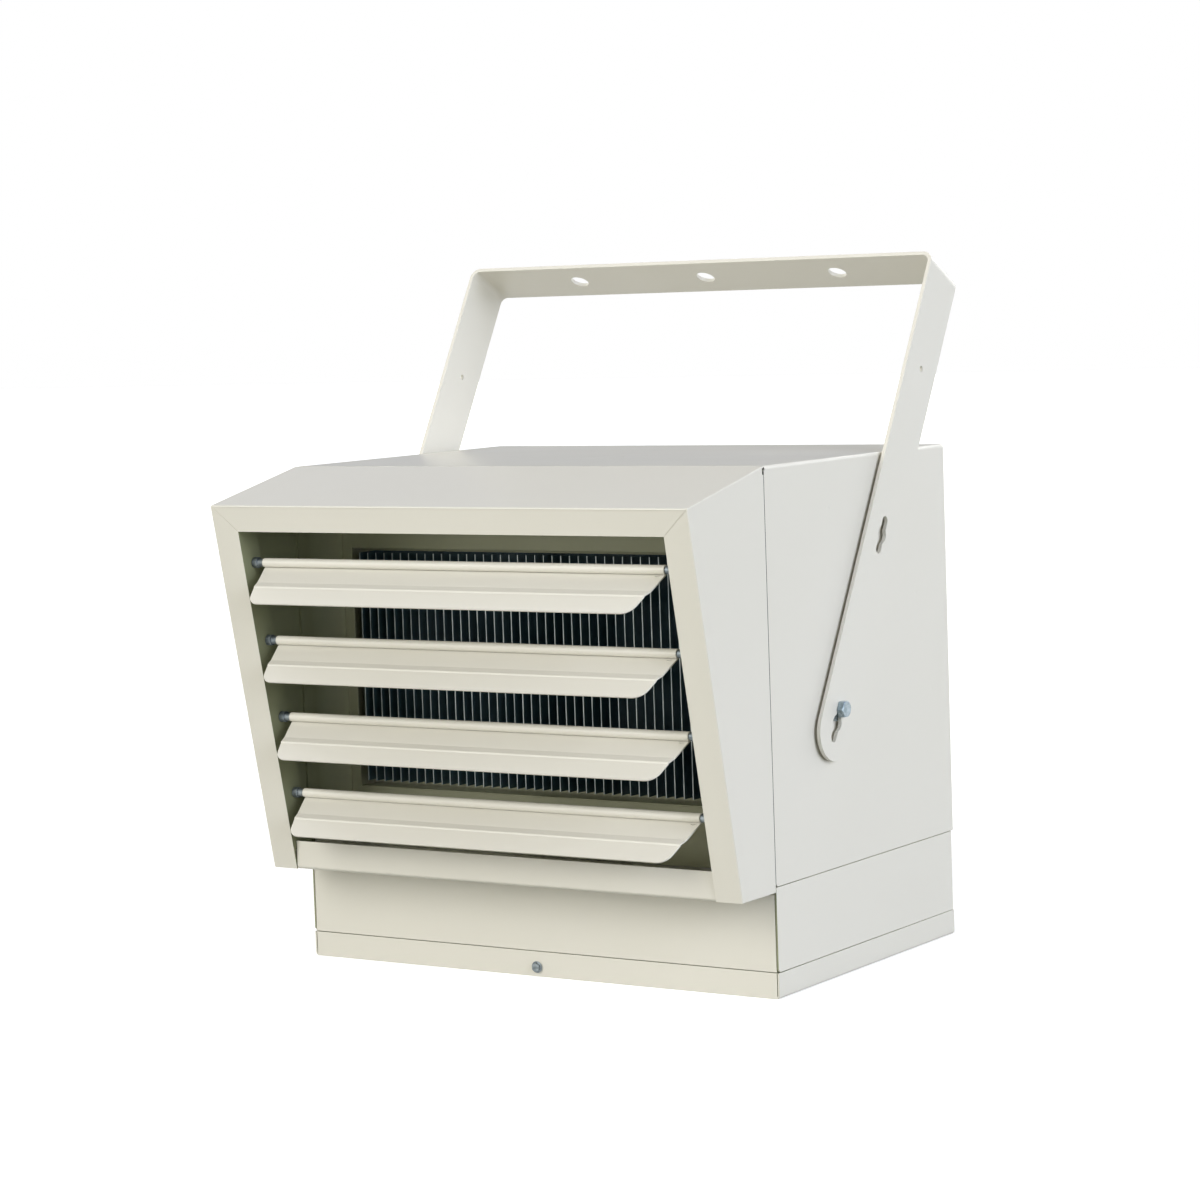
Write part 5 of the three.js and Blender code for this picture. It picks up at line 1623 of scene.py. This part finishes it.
    def build(self) -> None:
        """Makes and dresses the motor, the fan and the guard."""
        fit(Form.copied("motor_stand").soft(0.25), "motor_stand", STEEL)
        fit(self.motor_form(), "fan_motor", MOTOR_PAINT)
        fit(self.shaft_form(), "motor_shaft", STEEL)
        fit(self.fan_form(), "fan_blade", ALUMINIUM)
        fit(self.guard_form(), "fan_guard", ZINC)
        face = self.motor_front - self.stand_sheet - 2 * self.gap
        for number, x in enumerate((-self.bolt_spread, self.bolt_spread), 1):
            screw = MACHINE_SCREW.form((x, face, self.fan_axis), FORWARD)
            fit(screw, f"motor_screw_{number}", ZINC)
        seat = self.panel_rear + self.gap + 1.2 + self.gap
        for number, (x, z) in enumerate(self.lug_places(), 1):
            fit(GUARD_SCREW.form((x, seat, z), REARWARD), f"guard_screw_{number}", ZINC)


# ---------------------------------------------------------------- hanging bracket


@dataclass(frozen=True)
class HangingBracket(Heater):
    """The flat bar bent to a U, with the bolts that it tilts on."""

    width: float = 40.0
    thickness: float = 2.7
    inner: float = 186.3
    reach: float = 324.5
    tail: float = 34.8
    lean: float = 29.8
    bend: float = 5.0
    hole: float = 6.5
    hole_spread: float = 106.0
    small_hole: float = 1.8
    small_hole_at: float = 246.0
    key_radius: float = 5.5
    key_slot: float = 3.3
    key_length: float = 26.4
    key_upper: float = 123.6
    pivot: Point = (0.0, -40.1, 174.8)
    bolt: float = 3.0
    bolt_head: float = 5.77
    bolt_head_height: float = 4.4
    washer: float = 8.0
    washer_thickness: float = 1.7
    nut_width: float = 16.0
    nut_thickness: float = 5.0

    @property
    def outer(self) -> float:
        """How far out the arms' outer faces are."""
        return self.inner + self.thickness

    @property
    def bore(self) -> float:
        """The radius of the holes that the bolts go through."""
        return self.bolt + 0.3

    def across(self, outline: Sequence[Point]) -> Form:
        """A cutter through both arms, with an outline on y and z."""
        return Form.drawn(outline, Along.X, -self.outer - 1, self.outer + 1)

    def keyhole(self, at: float) -> Form:
        """A cutter for a keyhole in both arms, a slot with a round hole at its middle."""
        slot = self.across(slot_outline(self.key_length, self.key_slot, (0, at)))
        return slot.cut(self.across(circle(self.key_radius, 40, (0, at))), keep=Cut.BOTH)

    def on_pivot(self, form: Form, side: Side, out: float) -> Form:
        """Moves a form to the axis that the bracket tilts on.

        Args:
            form: a form on its own Z axis.
            side: the side of the heater.
            out: how far out its origin goes.

        Returns:
            The form in its place, pointing outwards.
        """
        return form.aimed((side.value, 0, 0), (side.value * out, *self.pivot[1:]))

    def bar(self) -> Form:
        """The bent bar, drawn upright about its bolts and then leant back."""
        out, top, low = self.outer, self.reach, -self.tail
        over = rounded([(-out, low), (-out, top), (out, top), (out, low)],
                       self.bend + self.thickness, 14)
        under = rounded([(self.inner, low), (self.inner, top - self.thickness),
                         (-self.inner, top - self.thickness), (-self.inner, low)], self.bend, 14)
        half = self.width / 2
        bar = Form.drawn([tuple(point.xy) for point in (*over, *under)], Along.Y, -half, half)
        arc = [math.pi * (1 + step / 40) for step in range(41)]
        plan = [(half, top + 1), (-half, top + 1)]
        plan += [(half * math.cos(t), half - self.tail + half * math.sin(t)) for t in arc]
        bar.cut(self.across(plan), keep=Cut.INSIDE)
        bar.cut(self.keyhole(self.key_slot - self.key_length / 2), self.keyhole(self.key_upper),
                self.across(circle(self.small_hole, 24, (0, self.small_hole_at))))
        for x in (-self.hole_spread, 0.0, self.hole_spread):
            bar.cut(Form.drawn(circle(self.hole, 48, (x, 0)), Along.Z, top - 9, top + 9))
        turn = Matrix.Rotation(-math.radians(self.lean), 4, "X")
        return bar.soft(0.35).moved(Matrix.Translation(Vector(self.pivot)) @ turn)

    def bolt_form(self, side: Side) -> Form:
        """A hexagon bolt through an arm, with ridges for its thread.

        Args:
            side: the side of the heater.

        Returns:
            The bolt in its place.
        """
        seat = self.outer + self.gap
        length = seat - (self.half - self.sheet - self.gap - self.nut_thickness - 2)
        profile = [(0.0, 0.1), (self.bolt, 0.1), (self.bolt, -4.0)]
        for step in range(int(length - 5.0)):
            profile += [(self.bolt, -4.0 - step), (self.bolt - 0.4, -4.5 - step)]
        profile += [(self.bolt - 0.4, -length + 0.6), (self.bolt - 1.0, -length), (0.0, -length)]
        head = HexHead(self.bolt_head, self.bolt_head_height, 0.9).form()
        return self.on_pivot(head.with_forms(Form.turned(profile, 24)), side, seat)

    def washer_form(self, side: Side) -> Form:
        """The plain washer between an arm and the cabinet.

        Args:
            side: the side of the heater.

        Returns:
            The washer in its place.
        """
        top, edge = self.washer_thickness, self.washer
        profile = [(self.bore, 0), (edge - 0.3, 0), (edge, 0.3), (edge, top - 0.3),
                   (edge - 0.3, top), (self.bore, top)]
        return self.on_pivot(Form.turned(profile, closed=True), side, self.half + self.gap)

    def nut_form(self, side: Side) -> Form:
        """The square nut welded inside the cabinet's wall.

        Args:
            side: the side of the heater.

        Returns:
            The nut in its place.
        """
        half = self.nut_width / 2
        outline = rectangle((-half, -half), (half, half), 1.2)
        nut = Form.drawn(outline, Along.Z, -self.nut_thickness, 0.0)
        nut.cut(Form.turned([(0, -9), (self.bore, -9), (self.bore, 2), (0, 2)], 24))
        return self.on_pivot(nut.soft(0.3), side, self.half - self.sheet - self.gap)

    def build(self) -> None:
        """Makes and dresses the bracket and its fasteners."""
        fit(self.bar(), "mounting_bracket", ENAMEL)
        for side in Side:
            fit(self.bolt_form(side), f"bracket_bolt_{side.word}", ZINC)
            fit(self.washer_form(side), f"bracket_washer_{side.word}", ZINC)
            fit(self.nut_form(side), f"weld_nut_{side.word}", ZINC)


# ---------------------------------------------------------------- wiring compartment


@dataclass(frozen=True)
class WiringBay(Heater):
    """The electrical parts under the divider plate and the wires that leave them."""

    shelf: float = 69.1
    ways: int = 3
    way: float = 20.0
    block_left: float = -75.0
    grommet: Point = (-120.0, 60.0)
    grommet_radius: float = 8.0
    wire: float = 1.7
    bend: float = 7.0
    rod_z: float = 142.25
    stud_end: float = 1.1
    motor_wire_x: float = 40.8

    def terminal_block(self) -> Form:
        """A three-way block with barriers and slotted clamp screws, hung under the shelf."""
        top, left, right = self.shelf, self.block_left, self.block_left + self.ways * self.way
        block = Form.block((left, 78, top - 16), (right, 100, top)).soft(0.5)
        for i in range(self.ways + 1):
            x = left + i * self.way
            block.with_forms(Form.block((max(x - 1.2, left), 78, top - 20),
                                        (min(x + 1.2, right), 100, top - 15.5)).soft(0.3))
        for i in range(self.ways):
            x = left + (i + 0.5) * self.way
            plate = Form.block((x - 7, 80, top - 17), (x + 7, 98, top - 15.8)).soft(0.2)
            head = slotted_head(3.4, 1.4, 1.9, 1.0, 28)
            block.with_forms(plate, head.aimed(DOWNWARD, (x, 89, top - 17)))
        return block

    def contactor(self) -> Form:
        """A contactor on its mounting foot, with its coil cover and screw terminals."""
        top, columns = self.shelf, (37, 63)
        foot = Form.block((20, -30, top - 4), (80, 50, top)).soft(0.5)
        body = Form.block((24, -22, top - 36), (76, 42, top - 3.5)).soft(0.8)
        cover = Form.block((30, -14, top - 44), (70, 34, top - 35.5)).soft(1.2, 3)
        body.cut(*(Form.block((x - 5, y - 4.4, top - 40), (x + 5, y + 4.4, top - 30))
                   for x in columns for y in (-20, 40)))
        screws = [slotted_head(2.9, 1.2, 1.8, 0.9, 24).aimed(DOWNWARD, (x, y, top - 30.5))
                  for x in columns for y in (-18.5, 38.5)]
        return foot.with_forms(body, cover, *screws)

    def relay(self) -> Form:
        """The fan delay relay in its case, with two blade terminals."""
        top = self.shelf
        case = Form.block((105, -10, top - 26), (140, 30, top)).soft(1.2, 3)
        for x in (114, 130):
            tab = Form.block((x - 3.1, 4.6, top - 33), (x + 3.1, 5.4, top - 25)).soft(0.2)
            hole = Form.drawn(circle(1.0, 16, (x, top - 30)), Along.Y, 3, 7)
            case.with_forms(tab.cut(hole))
        return case

    def ground_lug(self) -> Form:
        """The earth screw and its ring tongue."""
        top = self.shelf
        eye = Form.drawn(circle(5, 32, (10, 90)), Along.Z, top - 2, top)
        tail = Form.drawn([(6.2, 92), (13.8, 92), (12.8, 106), (7.2, 106)], Along.Z,
                          top - 1.9, top - 0.1).soft(0.3)
        head = HexHead(3.4, 4.0, 0.5).form()
        head.cut(Form.block((-5, -0.5, 3), (5, 0.5, 6)))
        return eye.with_forms(tail, head.aimed(DOWNWARD, (10, 90, top - 2)))

    def grommet_form(self) -> Form:
        """The rubber grommet in the divider plate."""
        neck, inner = self.grommet_radius - self.gap, self.grommet_radius - 2.2
        lip, rim = 2.0, self.grommet_radius + 2.0
        low, high, top = -self.gap, self.sheet + self.gap, self.sheet + lip
        profile = [(inner, -lip + 0.8), (inner + 0.8, -lip), (rim - 0.8, -lip), (rim, -lip + 0.6),
                   (rim, low), (neck, low), (neck, high), (rim, high), (rim, top - 0.6),
                   (rim - 0.8, top), (inner + 0.8, top), (inner, top - 0.8)]
        grommet = Form.turned(profile, closed=True)
        return grommet.shifted(*self.grommet, self.shelf + self.gap)

    def grommet_place(self, third: int) -> Point:
        """Where one of three wires passes through the grommet."""
        turn = math.radians(90 + third * 120)
        return (self.grommet[0] + 3 * math.cos(turn), self.grommet[1] + 3 * math.sin(turn))

    def wire_form(self, corners: Sequence[Point]) -> Form:
        """A wire along a route."""
        return Form.tube(corners, self.wire, self.bend, 14)

    def element_wire(self, side: Side) -> Form:
        """The wire from the contactor to one end of the element.

        Args:
            side: the side of that end.

        Returns:
            The wire.
        """
        end = side.value * self.rod_x
        if side is Side.LEFT:
            (x, y), level = self.grommet_place(1), self.shelf - 20
            route = [(23.7, 40, level), (x, 40, level), (x, y, level), (x, y, 96)]
        else:
            (x, y), level = self.grommet_place(2), self.shelf - 36
            route = [(23.7, 25, level), (-90, 25, level), (x, y, level), (x, y, 87), (150, y, 87)]
        return self.wire_form([*route, (end, 40, self.rod_z), (end, self.stud_end, self.rod_z)])

    def motor_wire(self) -> Form:
        """The wire from the relay to the motor."""
        x, y = self.grommet_place(0)
        low, high = self.shelf - 27, self.fan_axis - 5
        return self.wire_form([(104.7, 26, low + 7), (92, 26, low + 7), (92, y, low), (x, y, low),
                               (x, y, 120), (-90, y, high), (-self.motor_wire_x, y, high)])

    def supply_wire(self) -> Form:
        """The wire from the terminal block to the contactor."""
        level = self.shelf - 14
        return self.wire_form([(-14.7, 92, level), (50, 92, level), (50, 42.3, level)])

    def build(self) -> None:
        """Makes and dresses the electrical parts."""
        fit(self.terminal_block(), "terminal_block", BLACK_PLASTIC)
        fit(self.contactor(), "contactor", BLACK_PLASTIC)
        fit(self.relay(), "fan_delay_relay", GREY_PLASTIC)
        fit(self.ground_lug(), "ground_lug", ZINC)
        fit(self.grommet_form(), "wiring_grommet", RUBBER)
        for side in Side:
            fit(self.element_wire(side), f"element_wire_{side.word}", RED_WIRE)
        fit(self.motor_wire(), "motor_wire", BLACK_WIRE)
        fit(self.supply_wire(), "supply_wire", BLACK_WIRE)


# ---------------------------------------------------------------- studio


def bearing(azimuth: float, elevation: float) -> tuple[Vector, Vector]:
    """A direction from the heater.

    Args:
        azimuth: its side in degrees, 0 in front of the outlet and 90 on the right.
        elevation: its height above the horizon, in degrees.

    Returns:
        The direction, and the level one to the right of someone who looks from there.
    """
    az, el = math.radians(azimuth), math.radians(elevation)
    out = Vector((math.sin(az) * math.cos(el), -math.cos(az) * math.cos(el), math.sin(el)))
    return out, Vector((math.cos(az), math.sin(az), 0))


@dataclass(frozen=True)
class Lamp:
    """A soft distant light from a side in degrees, at a height in degrees."""

    name: str
    azimuth: float
    elevation: float
    power: float
    colour: Point
    spread: float = 50.0

    def add(self) -> None:
        """Puts the light in the scene."""
        data = bpy.data.lights.new(self.name, "SUN")
        data.energy = self.power
        data.angle = math.radians(self.spread)
        data.color = self.colour
        lamp = bpy.data.objects.new(self.name, data)
        lamp.rotation_mode = "QUATERNION"
        source = bearing(self.azimuth, self.elevation)[0]
        lamp.rotation_quaternion = source.to_track_quat("Z", "Y")
        bpy.context.scene.collection.objects.link(lamp)


WARM, COOL, BLUE = (1.0, 0.98, 0.93), (0.93, 0.98, 1.12), (0.88, 0.95, 1.15)
NEUTRAL, WHITE = (1.0, 1.0, 1.0), (1.0, 1.0, 1.0, 1.0)


@dataclass(frozen=True)
class Studio:
    """The floor, the lights and the camera."""

    camera_place: Point = (1.2733, -1.96615, 0.4507)
    azimuth: float = 33.327
    elevation: float = 5.189
    roll: float = -2.012
    lens: float = 103.689
    mirrored: tuple[Point, ...] = ((0.0, 0.3), (0.12, 0.3), (0.45, 0.6), (1.0, 1.0))
    sky: tuple[Point, ...] = ((0.0, 0.82), (0.05, 0.58), (0.16, 0.35), (1.0, 0.05))
    lamps: tuple[Lamp, ...] = (Lamp("front_light", -20.0, 22.0, 2.28, WARM),
                               Lamp("side_light", 80.0, 14.0, 2.6, COOL),
                               Lamp("rear_light", 175.0, 20.0, 1.2, WARM),
                               Lamp("left_light", -100.0, 18.0, 1.0, WARM))
    floor_half: float = 12000.0

    def add_camera(self) -> None:
        """Puts the camera where the photographer's was."""
        roll = math.radians(self.roll)
        back, right = bearing(self.azimuth, self.elevation)
        up = back.cross(right)
        across = right * math.cos(roll) + up * math.sin(roll)
        above = up * math.cos(roll) - right * math.sin(roll)
        turn = Matrix((across, above, back)).transposed().to_4x4()
        lens = bpy.data.cameras.new("photo_camera")
        lens.lens = self.lens
        lens.sensor_width = 36.0
        lens.clip_end = 100.0
        camera = bpy.data.objects.new("photo_camera", lens)
        camera.matrix_world = Matrix.Translation(Vector(self.camera_place)) @ turn
        bpy.context.scene.collection.objects.link(camera)
        bpy.context.scene.camera = camera

    def tones(self, levels: Sequence[Point], tint: Point) -> list[tuple[float, Colour]]:
        """The stops of a ramp from pairs of a height and a level, all in one tint."""
        return [(height, (*(level * part for part in tint), 1.0)) for height, level in levels]

    def add_world(self) -> None:
        """White for the camera, a bright top for reflections and a dome that dims for the rest."""
        world = bpy.data.worlds.new("studio")
        bpy.context.scene.world = world
        world.use_nodes = True
        world.node_tree.nodes.clear()
        work = NodeWork(world.node_tree)
        way = work.node("ShaderNodeTexCoord").outputs["Generated"]
        height = work.node("ShaderNodeSeparateXYZ", Vector=way).outputs["Z"]
        path = work.node("ShaderNodeLightPath").outputs
        shiny = work.maths("MAXIMUM", path["Is Glossy Ray"], path["Is Transmission Ray"])
        lit = work.blend(shiny, work.ramp(height, *self.tones(self.sky, NEUTRAL)),
                         work.ramp(height, *self.tones(self.mirrored, BLUE)))
        seen = work.blend(path["Is Camera Ray"], lit, WHITE)
        light = work.node("ShaderNodeBackground", Color=seen).outputs["Background"]
        work.node("ShaderNodeOutputWorld", Surface=light)

    def add_floor(self) -> None:
        """A wide pale floor under the heater that keeps its shadow."""
        form = Form()
        bmesh.ops.create_grid(form.mesh, x_segments=1, y_segments=1, size=self.floor_half)
        floor = form.shown("floor")
        work = ShaderWork("pale_floor")
        path = work.node("ShaderNodeLightPath").outputs
        seen = work.maths("MAXIMUM", path["Is Camera Ray"], path["Is Glossy Ray"])
        seen = work.maths("MAXIMUM", seen, path["Is Transmission Ray"])
        colour = work.ramp(seen, (0.0, srgb(136, 138, 126)), (1.0, srgb(236, 236, 236)))
        work.set(Base_Color=colour, Roughness=0.9, Specular_IOR_Level=0.0,
                 Emission_Color=WHITE, Emission_Strength=work.maths("MULTIPLY", seen, 0.5))
        floor.data.materials.append(work.material)

    def build(self) -> None:
        """Sets up the whole studio."""
        bpy.context.scene.view_settings.view_transform = "Standard"
        self.add_world()
        for lamp in self.lamps:
            lamp.add()
        self.add_floor()
        self.add_camera()


def main() -> None:
    """Builds the heater's pieces in order, then the studio round them."""
    logging.basicConfig(level=logging.INFO, format="%(name)s %(message)s")
    for assembly in (Casing(), DischargeHood(), ElementPack(), FanUnit(), HangingBracket(),
                     WiringBay(), Studio()):
        LOG.info("building %s", type(assembly).__name__)
        assembly.build()


if __name__ == "__main__":
    main()
